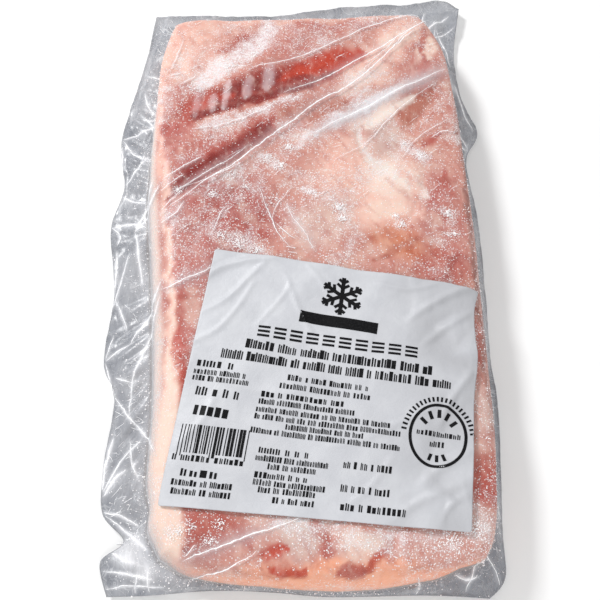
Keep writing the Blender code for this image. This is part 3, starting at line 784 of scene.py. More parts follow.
# Creases of the loose margin, the same way.
MARGIN_CREASES = [
    (1.2, 2.0, 0.9, 0.2, [(-153, 188), (-141, 180), (-128, 176)]),
    (1.0, 2.5, 0.9, 0.3, [(-153, 165), (-149, 150), (-142, 138)]),
    (1.0, 2.0, 0.9, 0.3, [(-152, 131), (-143, 128), (-134, 130)]),
    (1.8, 2.5, 1.1, 0.4, [(-169, 110), (-150, 117), (-136, 121)]),
    (1.6, 2.5, 1.0, 0.3, [(-169, 109), (-157, 92), (-146, 84), (-134, 80)]),
    (1.0, 2.0, 1.3, 0.4, [(-166, 72), (-167, 86), (-169, 102)]),
    (1.2, 2.0, 1.0, 0.3, [(-140, 85), (-150, 75), (-160, 60)]),
    (1.4, 3.0, 1.0, 0.4, [(-162, 46), (-150, 38), (-138, 36)]),
    (1.8, 2.2, 1.0, 0.3, [(-168, 14), (-150, 15), (-136, 10)]),
    (1.4, 2.0, 0.9, 0.3, [(-168, 14), (-160, 5), (-162, -5)]),
    (1.6, 2.0, 1.0, 0.3, [(-146, 6), (-132, 24), (-121, 38)]),
    (1.6, 2.0, 0.9, 0.3, [(-146, 6), (-138, 26), (-130, 46)]),
    (1.8, 2.0, 1.2, 0.35, [(-146, 6), (-142, -6), (-138, -25), (-134, -46)]),
    (0.8, 1.6, 1.0, 0.3, [(-161, -10), (-159, -40), (-160, -60), (-161, -82)]),
    (1.2, 2.0, 0.8, 0.2, [(-148, -14), (-155, -45), (-160, -70)]),
    (1.2, 2.0, 0.9, 0.3, [(-155, -62), (-148, -75), (-144, -86)]),
    (1.0, 1.8, 0.8, 0.2, [(-154, -90), (-159, -110)]),
    (1.8, 2.0, 1.1, 0.3, [(-141, -99), (-125, -76), (-112, -54)]),
    (1.6, 2.2, 1.0, 0.3, [(-141, -99), (-150, -104), (-159, -112)]),
    (1.4, 2.0, 1.0, 0.3, [(-112, -66), (-118, -82), (-127, -106), (-133, -130), (-134, -160)]),
    (1.6, 2.2, 1.1, 0.35, [(-159, -114), (-153, -130), (-148, -146)]),
    (1.2, 2.0, 0.9, 0.2, [(-149, -126), (-140, -130), (-132, -133)]),
    (1.6, 1.8, 1.1, 0.3, [(-149, -140), (-140, -152), (-130, -163), (-118, -175), (-106, -190)]),
    (1.4, 2.0, 1.6, 0.6, [(-145, -175), (-147, -185), (-149, -200), (-149, -214)]),
    (1.6, 2.0, 1.1, 0.3, [(-148, -215), (-136, -192), (-124, -180)]),
    (1.2, 2.0, 0.9, 0.2, [(-131, -178), (-127, -195), (-121, -206)]),
    (1.4, 3.0, 1.3, 0.6, [(-147, -218), (-140, -206), (-131, -200)]),
    (1.6, 2.2, 1.1, 0.4, [(-146, -230), (-134, -232), (-118, -240)]),
    (1.4, 2.0, 1.0, 0.3, [(-144, -232), (-130, -242), (-110, -256)]),
    (1.2, 3.0, 1.6, 0.7, [(-136, -258), (-128, -262), (-118, -265)]),
    (0.9, 1.6, 0.9, 0.3, [(-142, -270), (-124, -272), (-104, -276)]),
    (0.8, 1.4, 0.7, 0.2, [(-108, -270), (-107, -284)]), (0.8, 1.4, 0.7, 0.2, [(-116, -272), (-117, -285)]),
    (0.8, 1.6, 0.8, 0.2, [(-138, -282), (-122, -280), (-96, -281)]),
    (1.8, 2.4, 1.0, 0.3, [(158, 96), (151, 108), (144, 118)]),
    (1.4, 2.0, 0.9, 0.2, [(156, 94), (150, 99), (145, 104)]),
    (1.2, 2.0, 0.8, 0.2, [(154, 88), (150, 84), (147, 80)]),
    (1.0, 1.8, 0.9, 0.3, [(166, 120), (160, 140), (157, 160), (154, 176)]),
    (1.4, 2.0, 0.9, 0.2, [(139, 246), (137, 222), (143, 196), (147, 170)]),
    (1.2, 2.0, 0.9, 0.2, [(140, 244), (148, 224), (152, 200)]),
    (1.6, 2.4, 1.2, 0.3, [(122, 240), (139, 250), (156, 268)]),
    (1.2, 2.0, 0.9, 0.2, [(128, 232), (146, 240), (160, 252)]),
    (1.0, 2.0, 0.8, 0.2, [(120, 236), (126, 256), (132, 274)]),
    (1.0, 1.6, 0.8, 0.2, [(60, 230), (62, 246), (58, 262)]),
    (1.0, 1.6, 0.8, 0.2, [(-20, 224), (-18, 240), (-24, 256)]),
    (1.0, 1.6, 0.8, 0.2, [(-90, 224), (-94, 240), (-90, 256)]),
    (1.2, 2.0, 1.2, 0.5, [(110, -272), (118, -276), (126, -274)]),
    (1.2, 2.0, 0.9, 0.2, [(130, -256), (138, -266), (142, -280)]),
    (1.0, 1.8, 0.8, 0.2, [(128, -262), (122, -272), (118, -284)]),
    (1.0, 1.8, 0.8, 0.2, [(80, -274), (84, -280), (82, -285)]),
    (1.0, 1.6, 0.8, 0.2, [(145, -60), (150, -80), (150, -110)]),
    (0.9, 1.6, 0.8, 0.2, [(144, -150), (148, -170), (148, -195)]),
]
# Painted highlights: patches of glare on the margin, painted white and more opaque: middle, radius, rise.
GLARES = [((-120, -254), 13, 0.7), ((-108, -268), 10, 0.5), ((146, 172), 9, 0.8),
          ((137, 226), 10, 0.4), ((-150, 112), 8, 0.2)]
PUCKERS = [((-139, -14), 6), ((-154, 83), 6), ((-141, -124), 5), ((-134, -228), 5),
           ((157, 108), 4), ((140, 250), 6)]


def flat_facets(spacing, seed):
    """A field of flat facets with sharp edges between them, as in crumpled film."""
    rng = np.random.default_rng(seed)
    x, y = np.meshgrid(np.arange(-700, 701, spacing), np.arange(-400, 401, spacing))
    spots = np.column_stack([x.ravel(), y.ravel()])
    spots = spots + rng.uniform(-0.48, 0.48, spots.shape) * spacing
    found = delaunay_2d_cdt([Vector(spot) for spot in spots], [], [], 0, 1e-6)
    heights = rng.uniform(0, 1, len(found[0]))
    corners = [Vector((*spot, level)) for spot, level in zip(found[0], heights)]
    return BVHTree.FromPolygons(corners, found[2])


def facet_level(field, spots):
    level = np.zeros(len(spots))
    for index, (x, y) in enumerate(spots):
        hit = field.ray_cast(Vector((x, y, 5.0)), Vector((0, 0, -1)))[0]
        level[index] = hit.z if hit else 0.5
    return level


film, u, v, out = wrapped_grid("film_bag_skin", FILM_COLUMNS, FILM_ROWS,
                               FILM_SIDE_RINGS + FILM_MARGIN_RINGS)
columns = FILM_COLUMNS + 2 * (FILM_SIDE_RINGS + FILM_MARGIN_RINGS)
on_top = out == 0
top = slab_outline(u, v, on_top)
edge, outward = outward_from(top, u, v)
foot = top + outward * foot_spread(top, outward)[:, None] / MM
step = np.clip(out / FILM_SIDE_RINGS, 0, 1)
share_out, share_down = side_shares(step)
share = np.clip((out - FILM_SIDE_RINGS) / (FILM_MARGIN_RINGS - 1), 0, 1)
place = top + (foot - top) * share_out[:, None] + (edge - foot) * share[:, None]
turn = np.arctan2(place[:, 1] * SLAB_WIDTH, place[:, 0] * SLAB_LENGTH)

round_bag = np.column_stack([turn * 180, share * 16 + 60])
coarse = facet_level(flat_facets(17, 5), place)
radial = facet_level(flat_facets(11, 6), round_bag)
small = facet_level(flat_facets(6, 7), place)
level = cut_face_height(top) - shoulder(u, v)
height = level + (FOOT_HEIGHT - level) * share_down
fall = FOOT_HEIGHT + (RIM_HEIGHT - FOOT_HEIGHT) * share ** 0.6
swing = np.sin(turn * 46) * np.sin(turn * 29 + 1.1) + 0.5 * np.sin(turn * 83 + 2.0)
loose = np.sin(np.pi * np.clip(share, 0, 0.92))
fall += CREASE_HEIGHT * 0.55 * np.abs(swing) * loose
fall += loose * MM * (4.4 * (radial - 0.35) + 4.0 * (coarse - 0.4) + 0.8 * small)
height = np.where(share > 0, fall, height)
height += MM * (0.35 * (coarse - 0.3) + 0.18 * small) * (share <= 0) * (0.4 + 0.6 * (1 - step))
for spot, rise in PUCKERS:
    height += rise * MM * hump(np.hypot(*(place - spot).T), 9) * (share > 0) * (share < 1)
haze = np.zeros(len(place))
lines = np.zeros(len(place))
for rise, width, line, milk, route in FOLDS + MARGIN_CREASES:
    gap, where = distance_to(route, place)
    taper = tapered(where, 0.94)
    height += 0.62 * rise * MM * hump(gap, width) * taper * (share < 0.95) * (share_down < 0.9)
    haze = np.maximum(haze, milk * hump(gap, width * 1.7) * taper)
    lines = np.maximum(lines, hump(gap, 1.0) * taper * min(1.0, 0.35 + milk))
last = out == FILM_SIDE_RINGS + FILM_MARGIN_RINGS
lifted = RIM_HEIGHT + MM * (5.5 * soft_step(place[:, 1], 225, 262) + 1.6 * (1 + mottle(place, 15, 131)))
height = np.where(share > 0, height * (1 - share ** 3) + lifted * share ** 3, height)
height = np.where(last, 0.0, np.maximum(height, 0.0008))
place = np.where(last[:, None], foot + (edge - foot) * 0.72, place)
set_places(film, np.column_stack([place * MM, height]))
close_underside(film, 180)

# How sharply the film bends at each vertex, from its neighbours in the grid.
rows = len(height) // (columns + 1)
sheet = height.reshape(rows, columns + 1)
bend = np.zeros_like(sheet)
bend[1:-1, 1:-1] = (np.abs(sheet[2:, 1:-1] + sheet[:-2, 1:-1] - 2 * sheet[1:-1, 1:-1])
                    + np.abs(sheet[1:-1, 2:] + sheet[1:-1, :-2] - 2 * sheet[1:-1, 1:-1]))
bend = bend.ravel() * (share > 0.02) * (share < 0.97)

margin = soft_step(share, 0.0, 0.12)
lower = soft_step(170 - place[:, 1], 0, 90)
left = soft_step(-place[:, 0], 40, 120)
frosted_foot = left * soft_step(0.45 - share, 0, 0.3) * margin * soft_step(150 - place[:, 1], 0, 80)
blot = mottle(place, 14, 101)
milky = 0.02 + 0.03 * np.clip(mottle(place, 20, 111), 0, 1)
milky = milky + margin * (0.57 + 0.05 * blot) + 0.12 * frosted_foot
milky = milky + haze * (0.9 - 0.5 * margin)
milky = milky + 0.62 * soft_step(step, 0.05, 0.8) * (share <= 0) * left * lower
front = soft_step(-place[:, 1], 250, 270) * soft_step(place[:, 0], -60, 60)
far_right = soft_step(place[:, 0], 110, 145) * soft_step(place[:, 1], -160, -60)
# How white the film looks. Besides its milky and frosted parts, the facet terms paint the crumpled facets
# lighter and darker as painted light and shade. It is also darker along the front and lighter at the far
# right.
white = (0.09 + 0.03 * left - 0.10 * front + 0.12 * far_right + 0.06 * mottle(place, 12, 121)
         + 0.16 * frosted_foot
         + 0.22 * (radial - 0.5) + 0.22 * (coarse - 0.5) + 0.12 * (small - 0.5))
# Painted highlights: the glare patches.
for spot, radius, rise in GLARES:
    white += rise * hump(np.hypot(*(place - spot).T), radius) * (0.5 + coarse)
    milky += 0.3 * rise * hump(np.hypot(*(place - spot).T), radius)
# Painted highlights: sharp bends and fold lines are painted whiter and more opaque, as the glints along
# the film's creases.
crest = soft_step(bend, 0.0009, 0.0030) * margin
white = np.clip(white + 0.4 * crest + lines + 0.5 * haze, 0, 1)
milky = np.clip(milky + 0.22 * crest + 0.30 * lines, 0, 0.95)
milky = np.where(last, 0.10, milky)
store(film, "milky", milky)
# Over the meat the film is near white, and its fold lines carry the same painted highlights.
store(film, "white", np.where(share > 0, white, np.clip(0.92 - 0.30 * step * left + lines, 0, 1)))

clear_film, hand, shader = new_material("clear_polyethylene")
milk = hand.read("milky").outputs["Fac"]
bright = hand.read("white").outputs["Fac"]
streak = hand.noise(38.0, 3.0, 0.55, distort=0.9)
wisps = hand.noise(420.0, 3.0, 0.6, stretch=(1.0, 0.35, 1.0), turn=math.radians(40))
veins = hand.math("ABSOLUTE", hand.math("SUBTRACT", streak, 0.5))
veins = hand.ramp(veins, 0.012, 0.0, 0.0, 1.0)
uneven = hand.ramp(wisps, 0.35, 0.70, 0.90, 1.10)
loose_film = hand.ramp(milk, 0.20, 0.42)
alpha = hand.math("MULTIPLY", milk, uneven)
alpha = hand.math("ADD", alpha, hand.math("MULTIPLY", hand.math("MULTIPLY", veins, loose_film),
                                          0.08), clamp=True)
hand.set(shader.inputs["Alpha"], alpha)
shade = hand.mix(bright, (0.205, 0.222, 0.262, 1), (0.87, 0.87, 0.90, 1))
shade = hand.mix(hand.math("MULTIPLY", hand.math("MULTIPLY", veins, loose_film), 0.3), shade,
                 (0.93, 0.94, 0.96, 1))
hand.set(shader.inputs["Base Color"], shade)
hand.set(shader.inputs["Roughness"], hand.ramp(wisps, 0.3, 0.7, 0.20, 0.38))
hand.set(shader.inputs["Specular IOR Level"], hand.ramp(milk, 0.15, 0.40, 0.16, 0.36))
wrinkled = hand.math("MULTIPLY", hand.math("ADD", streak, wisps), loose_film)
hand.set(shader.inputs["Normal"], hand.bump(wrinkled, 0.0004, 0.25))
shader.inputs["IOR"].default_value = 1.5
film.data.materials.append(clear_film)
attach(film, "root")
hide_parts("film_bag")


# --- Frost dust in the margin ----------------------------------------------------------------
# Fine frost shaken off the slab, lying on the loose film beside its left and near edges. It is
# the same small ice grain, copied.

rng = np.random.default_rng(404)
DUST_COUNT = 2600
film_spots = np.column_stack([place * MM, height])
near_side = soft_step(-place[:, 1], 200, 270)
chance = (share > 0.02) * np.exp(-share / 0.28) * np.maximum(left, 0.35 * near_side)
picked = rng.choice(len(chance), DUST_COUNT, p=chance / chance.sum())
dust_places = film_spots[picked] + rng.uniform(-1, 1, (DUST_COUNT, 3)) * (0.0012, 0.0012, 0)
dust_places[:, 2] += 0.00010
dust = scattered("frost_dust", ice_ball(), dust_places,
                 rng.gamma(3.0, 0.00010, DUST_COUNT).clip(0.00012, 0.00060), rng)
dust.data.materials.append(ice)
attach(dust, "root")
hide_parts("film_bag")


# --- Film pleats -----------------------------------------------------------------------------
# Where the film is pinched it doubles into a fine white pleat, whose glint is painted in as a faint
# glow. Each pleat is a low, closed, three-sided fin that tapers to nothing at both ends and sits on
# the film.

film_ground = BVHTree.FromObject(film, bpy.context.evaluated_depsgraph_get())


def set_down(ground, x, y, missing=0.0):
    """Height in metres of whatever lies under a place given in millimetres."""
    hit = ground.ray_cast(Vector((x * MM, y * MM, 0.2)), Vector((0, 0, -1)))[0]
    return hit.z if hit else missing


def face_outwards(piece):
    """Turns every face of a closed piece outwards."""
    bpy.ops.object.select_all(action="DESELECT")
    piece.select_set(True)
    bpy.context.view_layer.objects.active = piece
    bpy.ops.object.mode_set(mode="EDIT")
    bpy.ops.mesh.select_all(action="SELECT")
    bpy.ops.mesh.normals_make_consistent(inside=False)
    bpy.ops.object.mode_set(mode="OBJECT")


def pleat_fins(name, pleats, seed):
    """One mesh of fins: each pleat gives its width, its rise and the points it runs through."""
    rng = np.random.default_rng(seed)
    corners, faces = [], []
    for width, rise, route in pleats:
        route = np.asarray(route, float)
        length = np.hypot(*np.diff(route, axis=0).T).sum()
        count = max(5, int(length / 1.6))
        shares = np.linspace(0, 1, count)
        spots = curve_through(route, shares)
        spots = spots + np.column_stack([mottle(spots, 7, seed + 3), mottle(spots, 7, seed + 9)])
        heading = np.gradient(spots, axis=0)
        heading /= np.hypot(*heading.T)[:, None] + 1e-9
        across = np.column_stack([-heading[:, 1], heading[:, 0]])
        swell = np.sin(np.pi * shares) ** 0.6 * rng.uniform(0.55, 1.3, count)
        first = len(corners)
        for spot, side, fat in zip(spots, across, np.maximum(swell, 0.04)):
            half = 0.5 * width * fat
            for offset, lift in ((-half, -0.05), (half, -0.05), (0.0, rise * fat + 0.08)):
                x, y = spot + side * offset
                corners.append((x * MM, y * MM, set_down(film_ground, x, y) + lift * MM))
        for stop in range(count - 1):
            a, b = first + stop * 3, first + stop * 3 + 3
            for i, j in ((0, 1), (1, 2), (2, 0)):
                faces.append((a + i, a + j, b + j, b + i))
        faces.append((first + 2, first + 1, first))
        faces.append((first + count * 3 - 3, first + count * 3 - 2, first + count * 3 - 1))
    piece = linked_piece(name, corners, faces)
    face_outwards(piece)
    bpy.ops.object.shade_smooth()
    return piece


MARGIN_PLEATS, FACE_PLEATS = 520, 70
pleats = [(line, 0.22, route) for rise, width, line, milk, route in FOLDS + MARGIN_CREASES]
rng = np.random.default_rng(77)
spots = np.flatnonzero((share > 0.08) & (share < 0.9))
for index in rng.choice(spots, MARGIN_PLEATS):
    reach = rng.uniform(3, 13)
    lean = rng.normal(0, 0.5)
    c, s = math.cos(lean), math.sin(lean)
    way = outward[index] @ np.array([[c, s], [-s, c]]) * reach
    start = place[index]
    sway = rng.normal(0, 0.6, 2)
    route = [start, start + way * 0.5 + sway, start + way]
    if max(abs(route[-1][0]) - 150, abs(route[-1][1]) - 262) < 0:
        pleats.append((rng.uniform(0.25, 0.6), 0.12, route))
spots = np.flatnonzero(on_top & (place[:, 1] > -30))
for index in rng.choice(spots, FACE_PLEATS):
    start, reach = place[index], rng.uniform(4, 16)
    way = np.array([0.78, 0.62]) * reach + rng.normal(0, 1.5, 2)
    pleats.append((rng.uniform(0.22, 0.45), 0.10, [start, start + way * 0.5, start + way]))
fins = pleat_fins("film_pleats", pleats, 301)

pleat_film, hand, shader = new_material("pleated_film")
breaks = hand.noise(330.0, 4.0, 0.6)
hand.set(shader.inputs["Alpha"], hand.ramp(breaks, 0.30, 0.52, 0.60, 1.0))
hand.set(shader.inputs["Base Color"], hand.mix(hand.ramp(breaks, 0.4, 0.7), (0.90, 0.91, 0.93, 1),
                                               (0.97, 0.98, 0.99, 1)))
# Painted glint: the pleats glow faintly white, as the bright glints of the folded film.
shader.inputs["Emission Color"].default_value = (1.0, 1.0, 1.0, 1)
shader.inputs["Emission Strength"].default_value = 0.22
hand.set(shader.inputs["Roughness"], hand.ramp(breaks, 0.3, 0.7, 0.18, 0.35))
fins.data.materials.append(pleat_film)
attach(fins, "root")
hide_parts("film_bag")


# --- Label ---------------------------------------------------------------------------------------
# One sheet of thin white synthetic paper, stuck on the bag and wrinkled with it. Its right edge
# is wavy where the film has shrunk under it, and its corners are cut round.

LABEL_WIDE, LABEL_TALL = 212, 200       # its own millimetres, across and up
LABEL_QUAD = np.array([(-99, -229), (116, -247), (-69, -29), (142, -66)], float)
LABEL_RIGHT = [(116, -247), (123, -192), (128, -155), (134, -125), (134, -108), (136, -84), (142, -66)]
LABEL_FAR = [(-69, -29), (37, -46), (142, -66)]
LABEL_CORNER = 4.5
LABEL_LIFT = 0.9
PAPER_SETTLINGS = 14                    # how often the paper is eased over the dips below it
# Wrinkles: rise, half width, points, all in part millimetres.
WRINKLES = [
    (1.1, 4.0, [(-80, -60), (-66, -47), (-44, -40), (-20, -38)]),
    (0.8, 3.0, [(-76, -84), (-58, -74), (-38, -52), (-28, -42)]),
    (0.6, 2.6, [(-84, -110), (-64, -100), (-48, -80), (-36, -58)]),
    (0.7, 2.2, [(-8, -62), (0, -84), (10, -104)]),
    (0.5, 2.2, [(6, -44), (18, -60), (26, -80)]),
    (0.5, 2.0, [(-14, -50), (-8, -62), (-20, -80), (-34, -96)]),
    (1.3, 4.0, [(84, -92), (104, -78), (124, -68), (136, -64)]),
    (1.2, 4.0, [(94, -112), (112, -98), (132, -86)]),
    (0.9, 3.0, [(60, -60), (84, -66), (108, -62)]),
    (0.9, 3.5, [(100, -176), (110, -156), (130, -132)]),
    (1.4, 5.0, [(84, -216), (98, -204), (122, -192)]),
    (1.1, 4.0, [(60, -240), (84, -226), (116, -214)]),
    (0.9, 3.0, [(96, -240), (104, -228), (118, -222)]),
    (0.6, 3.0, [(20, -190), (50, -182), (80, -168), (100, -160)]),
    (0.5, 3.0, [(-60, -140), (-20, -150), (20, -146)]),
    (0.6, 4.0, [(-90, -190), (-70, -170), (-62, -150)]),
    (0.6, 3.0, [(30, -232), (50, -216), (66, -196)]),
]


def label_spot(s, t):
    """Part millimetres of a place s across and t up on the label."""
    a, b = (np.asarray(s, float) / LABEL_WIDE)[:, None], (np.asarray(t, float) / LABEL_TALL)[:, None]
    low = LABEL_QUAD[0] * (1 - a) + LABEL_QUAD[1] * a
    return low * (1 - b) + (LABEL_QUAD[2] * (1 - a) + LABEL_QUAD[3] * a) * b


LABEL_COLUMNS, LABEL_ROWS = 140, 132
bpy.ops.object.select_all(action="DESELECT")
bpy.ops.mesh.primitive_grid_add(x_subdivisions=LABEL_COLUMNS, y_subdivisions=LABEL_ROWS, size=2)
label = bpy.context.object
label.name = label.data.name = "label_sheet"
u, v = ((spots_of(label)[:, :2] + 1) / 2).T
sides = {"near": LABEL_QUAD[:2], "right": LABEL_RIGHT, "far": LABEL_FAR,
         "left": LABEL_QUAD[[0, 2]]}
# Round the corners: rows of the grid near a corner are drawn in along the arc.
across, up = u * LABEL_WIDE, v * LABEL_TALL
nook = np.clip(LABEL_CORNER - np.minimum(across, LABEL_WIDE - across), 0, None)
rise = np.clip(LABEL_CORNER - np.minimum(up, LABEL_TALL - up), 0, None)
square = np.maximum(nook, rise)
round_off = np.where(np.hypot(nook, rise) > 0, square / (np.hypot(nook, rise) + 1e-9), 1)
across = np.where(nook > 0, across + np.sign(across - LABEL_WIDE / 2) * nook * (round_off - 1), across)
up = np.where(rise > 0, up + np.sign(up - LABEL_TALL / 2) * rise * (round_off - 1), up)
u, v = across / LABEL_WIDE, up / LABEL_TALL
place = patch_inside(sides, u, v)
ground = np.array([set_down(film_ground, x, y) for x, y in place])
for settle in range(PAPER_SETTLINGS):
    board = ground.reshape(LABEL_ROWS + 1, LABEL_COLUMNS + 1)
    calm = board.copy()
    calm[1:-1, 1:-1] = (board[2:, 1:-1] + board[:-2, 1:-1] + board[1:-1, 2:] + board[1:-1, :-2]) / 4
    ground = np.maximum(calm.ravel(), ground - 0.00004)
crumple = facet_level(flat_facets(17, 15), place)
creasing = facet_level(flat_facets(6, 16), place)
right_side = soft_step(place[:, 0], 30, 110)
height = ground + MM * (LABEL_LIFT + (0.8 + 2.4 * right_side) * crumple
                        + (0.12 + 0.55 * right_side) * creasing)
for rise, width, route in WRINKLES:
    gap, where = distance_to(route, place)
    height += 1.9 * rise * MM * hump(gap, 0.75 * width) * tapered(where, fullness=0.6)
set_places(label, np.column_stack([place * MM, height]))
bpy.ops.object.shade_smooth()
# Painted shade: the paper is kept darker on its crumpled right side and in the dips of its facets, as the
# shade among the wrinkles.
store(label, "shade", np.clip(right_side * (0.25 + 0.9 * (1 - crumple)) + 0.25 * (0.6 - crumple), 0, 1))
paper = label.modifiers.new("paper", "SOLIDIFY")
paper.thickness = 0.00018
paper.offset = -1.0
bpy.ops.object.modifier_apply(modifier=paper.name)

label_paper, hand, shader = new_material("label_paper")
pulp = hand.noise(60.0, 4.0, 0.6)
specks = hand.noise(1300.0, 2.0, 0.6)
sheet_colour = hand.mix(hand.ramp(pulp, 0.3, 0.7), (0.56, 0.57, 0.605, 1), (0.61, 0.62, 0.652, 1))
# The paper's colour, darkened where the painted shade lies.
hand.set(shader.inputs["Base Color"], hand.mix(hand.read("shade").outputs["Fac"], sheet_colour,
                                               (0.47, 0.475, 0.50, 1)))
hand.set(shader.inputs["Roughness"], hand.ramp(pulp, 0.3, 0.7, 0.38, 0.52))
hand.set(shader.inputs["Normal"], hand.bump(hand.math("ADD", specks, hand.math(
    "MULTIPLY", hand.noise(140.0, 4.0, 0.6, distort=0.8), 3.0)), 0.0003, 0.5))
label.data.materials.append(label_paper)
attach(label, "root")
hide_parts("label")


# --- Label print ---------------------------------------------------------------------------------
# Black ink on the label, all of it generic: rows of small blocks in place of words, a plain
# snowflake over a bar, plain stripes and a plain ring. It is one thin layer that follows the
# paper, and it spells nothing.

label_ground = BVHTree.FromObject(label, bpy.context.evaluated_depsgraph_get())
PRINT_LIFT = 0.18                        # millimetres above the paper
ink_corners, ink_faces = [], []


def ink_strip(start, stop, width, step=1.1):
    """One straight bar of ink, from start to stop in label millimetres."""
    start, stop = np.asarray(start, float), np.asarray(stop, float)
    way = stop - start
    length = math.hypot(*way)
    across = np.array([-way[1], way[0]]) / length * width / 2
    count = max(2, int(length / step) + 2)
    lanes = max(2, int(width / step) + 2)
    first = len(ink_corners)
    for share in np.linspace(0, 1, count):
        for lane in np.linspace(-1, 1, lanes):
            ink_corners.append(start + way * share + across * lane)
    for i in range(count - 1):
        for j in range(lanes - 1):
            a = first + i * lanes + j
            ink_faces.append((a, a + lanes, a + lanes + 1, a + 1))


def ink_words(start, stop, height, words, rng, weight=0.68):
    """Groups of plain upright blocks between start and stop, like the grey of words."""
    start, stop = np.asarray(start, float), np.asarray(stop, float)
    letters = sum(words) + 0.7 * (len(words) - 1)
    pitch = (stop - start) / letters
    up = np.array([-pitch[1], pitch[0]]) / math.hypot(*pitch) * height
    at = 0.0
    for word in words:
        for letter in range(word):
            spot = start + pitch * (at + 0.5)
            tall = rng.choice([1.0, 1.0, 0.92, 0.8])
            wide = math.hypot(*pitch) * weight * rng.choice([0.8, 1.0, 1.1])
            if rng.random() < 0.45:
                ink_strip(spot, spot + up * tall, wide)
            else:
                side = pitch / math.hypot(*pitch) * wide * 0.33
                ink_strip(spot - side, spot - side + up * tall, wide * 0.42)
                ink_strip(spot + side, spot + side + up * tall * 0.9, wide * 0.38)
            at += 1
        at += 0.7


rng = np.random.default_rng(9)
# Snowflake: six arms, each with two pairs of barbs.
flake, arm = np.array([106.0, 175.0]), 17.0
for spoke in range(6):
    angle = math.radians(60 * spoke + 30)
    way = np.array([math.cos(angle), math.sin(angle)])
    ink_strip(flake, flake + way * arm, 3.2)
    for root, barb in ((0.42, 6.0), (0.72, 4.6)):
        for side in (-1, 1):
            tilt = angle + side * math.radians(52)
            foot_of_barb = flake + way * arm * root
            tip = foot_of_barb + barb * np.array([math.cos(tilt), math.sin(tilt)])
            ink_strip(foot_of_barb, tip, 2.4)
ink_strip((76, 152.5), (136, 150.5), 9.5)
# Title row: ten plain squares, each three short bars.
for mark in range(10):
    corner = np.array([46.0 + 12.4 * mark, 130.5 - 0.12 * mark])
    for lift in (1.2, 4.8, 8.4):
        ink_strip(corner + (0.4, lift), corner + (9.6, lift), 1.9)
ink_words((39, 120.0), (179, 117.0), 7.4, (6, 4, 6, 13, 4, 2), rng, 0.80)
ink_words((22, 109.8), (193, 107.1), 7.4, (5, 9, 2, 5, 3, 4, 1, 8, 3, 4), rng, 0.80)
ROWS_OF_PRINT = [   # start, stop, height, words
    ((5, 101.5), (34, 101), 5.0, (4, 1)), ((4.5, 95.5), (44, 95), 4.2, (7, 6, 1)),
    ((4.5, 90.5), (47, 90), 4.2, (4, 2, 10)), ((9, 79.5), (42, 78.5), 6.6, (2, 1, 1, 1)),
    ((10, 64.5), (37, 63.5), 7.2, (5,)), ((3, 31.5), (54, 31), 4.2, (1, 6, 6)),
    ((10, 21), (38, 20.5), 5.0, (4,)), ((6, 14.5), (49, 14), 4.2, (7, 2, 6)),
    ((7, 8.5), (49, 8), 4.2, (7, 2, 6)),
    ((74, 98.5), (134, 97.5), 4.6, (4, 1, 4, 6, 2, 1)), ((69, 91.5), (136, 90.5), 4.6, (8, 9, 2, 5)),
    ((57, 83.5), (118, 83), 4.2, (3, 1, 9, 3)), ((56, 78), (126, 77), 4.2, (6, 9, 11, 7)),
    ((55, 72), (152, 70.5), 4.2, (7, 6, 6, 2, 2, 7, 2, 6)),
    ((55, 66.5), (160, 65), 4.2, (2, 4, 3, 3, 3, 3, 9, 4, 14)),
    ((78, 61), (134, 60), 4.2, (8, 8, 3, 2, 4)), ((54, 56), (160, 54), 4.2, (8, 2, 9, 2, 11, 5, 3, 2, 7)),
    ((62, 42), (98, 41.5), 4.2, (4, 1, 1, 1)), ((61, 36.5), (112, 35.5), 4.2, (10, 4, 12)),
    ((70, 31), (104, 30.5), 4.2, (4, 2, 8)), ((122, 37.5), (156, 36.5), 5.2, (2, 1, 2, 1, 4)),
    ((62, 24.5), (99, 24), 4.2, (7, 1, 1, 1)), ((62, 19.5), (112, 18.5), 4.2, (6, 4, 12)),
    ((66, 14.5), (106, 14), 4.2, (4, 2, 10)), ((122, 20.5), (156, 19.5), 5.2, (2, 1, 2, 1, 4)),
    ((77, 8), (106, 7.5), 4.2, (2, 1, 3, 4)), ((123, 7.5), (168, 6.5), 5.2, (3, 1, 8)),
]
for start, stop, height, words in ROWS_OF_PRINT:
    ink_words(start, stop, height, words, rng)
# Stripes: plain bars of mixed widths.
at = 6.0
while at < 56:
    wide = rng.choice([0.7, 0.7, 1.3, 2.0])
    low = 34.5 if at < 9 or at > 53.5 or 29 < at < 32 else 37.0
    ink_strip((at, low), (at, 57), wide)
    at += wide / 2 + rng.choice([0.8, 1.0, 1.6]) + 0.5
# Ring: a plain oval band, with short marks round its upper half and bars inside.
ring, wide, tall = np.array([186.0, 69.0]), 19.6, 24.0
first, turns = len(ink_corners), 96
for index in range(turns):
    angle = 2 * math.pi * index / turns
    for grow in (-1.1, 1.1):
        ink_corners.append(ring + np.array([(wide + grow) * math.cos(angle),
                                            (tall + grow) * math.sin(angle)]))
for index in range(turns):
    a, b = first + 2 * index, first + 2 * ((index + 1) % turns)
    ink_faces.append((a, a + 1, b + 1, b))
for angle in np.radians(np.arange(8, 176, 7.2)):
    way = np.array([math.cos(angle), math.sin(angle)])
    ink_strip(ring + way * (wide + 2.9, tall + 2.9), ring + way * (wide + 6.6, tall + 6.6), 1.5)
for angle in np.radians((38, 64, 90, 116, 142)):
    way = np.array([math.cos(angle), math.sin(angle)])
    ink_strip(ring + way * (wide - 9.0, tall - 10.0), ring + way * (wide - 3.4, tall - 3.6), 2.6)
for angle in np.radians((250, 270, 290)):
    way = np.array([math.cos(angle), math.sin(angle)])
    ink_strip(ring + way * (wide - 8.4, tall - 9.0), ring + way * (wide - 3.4, tall - 3.6), 2.2)
ink_words((170.5, 69), (202, 67.5), 4.0, (11,), rng)
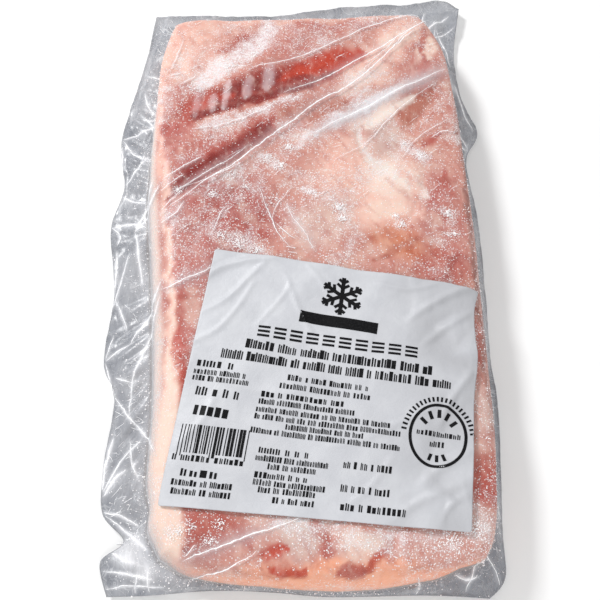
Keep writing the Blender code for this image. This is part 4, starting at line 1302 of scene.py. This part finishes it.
ink_words((180.5, 60.5), (191, 60), 4.4, (4,), rng)

spots = label_spot(*np.array(ink_corners).T)
levels = [set_down(label_ground, x, y, SLAB_HEIGHT) + PRINT_LIFT * MM for x, y in spots]
ink = linked_piece("label_print", np.column_stack([spots * MM, levels]).tolist(), ink_faces)
face_outwards(ink)
layer = ink.modifiers.new("ink", "SOLIDIFY")
layer.thickness = 0.00004
layer.offset = -1.0
bpy.ops.object.modifier_apply(modifier=layer.name)

label_ink, hand, shader = new_material("label_ink")
wear = hand.noise(900.0, 3.0, 0.6)
hand.set(shader.inputs["Base Color"], hand.mix(hand.ramp(wear, 0.45, 0.80), (0.004, 0.004, 0.005, 1),
                                               (0.020, 0.020, 0.022, 1)))
hand.set(shader.inputs["Roughness"], hand.ramp(wear, 0.3, 0.7, 0.45, 0.62))
shader.inputs["Specular IOR Level"].default_value = 0.12
ink.data.materials.append(label_ink)
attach(ink, "root")
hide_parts("label")


# --- Floor, light and camera -------------------------------------------------------------------
# A plain white table, one soft lamp up to the left, a weaker one in front, and an even
# white surround. The camera stands over the near end and looks at the slab's middle.

bpy.ops.object.select_all(action="DESELECT")
bpy.ops.mesh.primitive_plane_add(size=6.0, location=(0, 0, -0.0006))
floor = bpy.context.object
floor.name = "floor"
floor_paint, hand, shader = new_material("floor_paint")
hand.set(shader.inputs["Base Color"], hand.mix(hand.ramp(hand.noise(3.0), 0.3, 0.7),
                                               (0.93, 0.93, 0.93, 1), (0.95, 0.95, 0.95, 1)))
shader.inputs["Roughness"].default_value = 0.9
floor.data.materials.append(floor_paint)


def soft_lamp(name, place, size, power):
    """A square white lamp that faces the middle of the slab."""
    bpy.ops.object.light_add(type="AREA", location=place)
    lamp = bpy.context.object
    lamp.name = name
    lamp.data.size = size
    lamp.data.energy = power
    lamp.rotation_euler = (Vector((0, -0.02, 0)) - Vector(place)).to_track_quat("-Z", "Y").to_euler()


soft_lamp("key_lamp", (-1.30, 1.05, 1.40), 0.4, 34.5)
soft_lamp("fill_lamp", (0.5, -1.3, 0.9), 1.2, 8.0)

world = bpy.data.worlds.new("white_surround")
bpy.context.scene.world = world
world.use_nodes = True
world.node_tree.nodes["Background"].inputs["Color"].default_value = (1.0, 1.0, 1.0, 1)
world.node_tree.nodes["Background"].inputs["Strength"].default_value = 0.58
bpy.context.scene.view_settings.view_transform = "Standard"

CAMERA_PLACE, CAMERA_TILT = (0.0, -0.282, 0.509), 24
bpy.ops.object.camera_add(location=CAMERA_PLACE, rotation=(math.radians(CAMERA_TILT), 0, 0))
camera = bpy.context.object
camera.data.lens = 39
camera.data.sensor_width = 36
bpy.context.scene.camera = camera
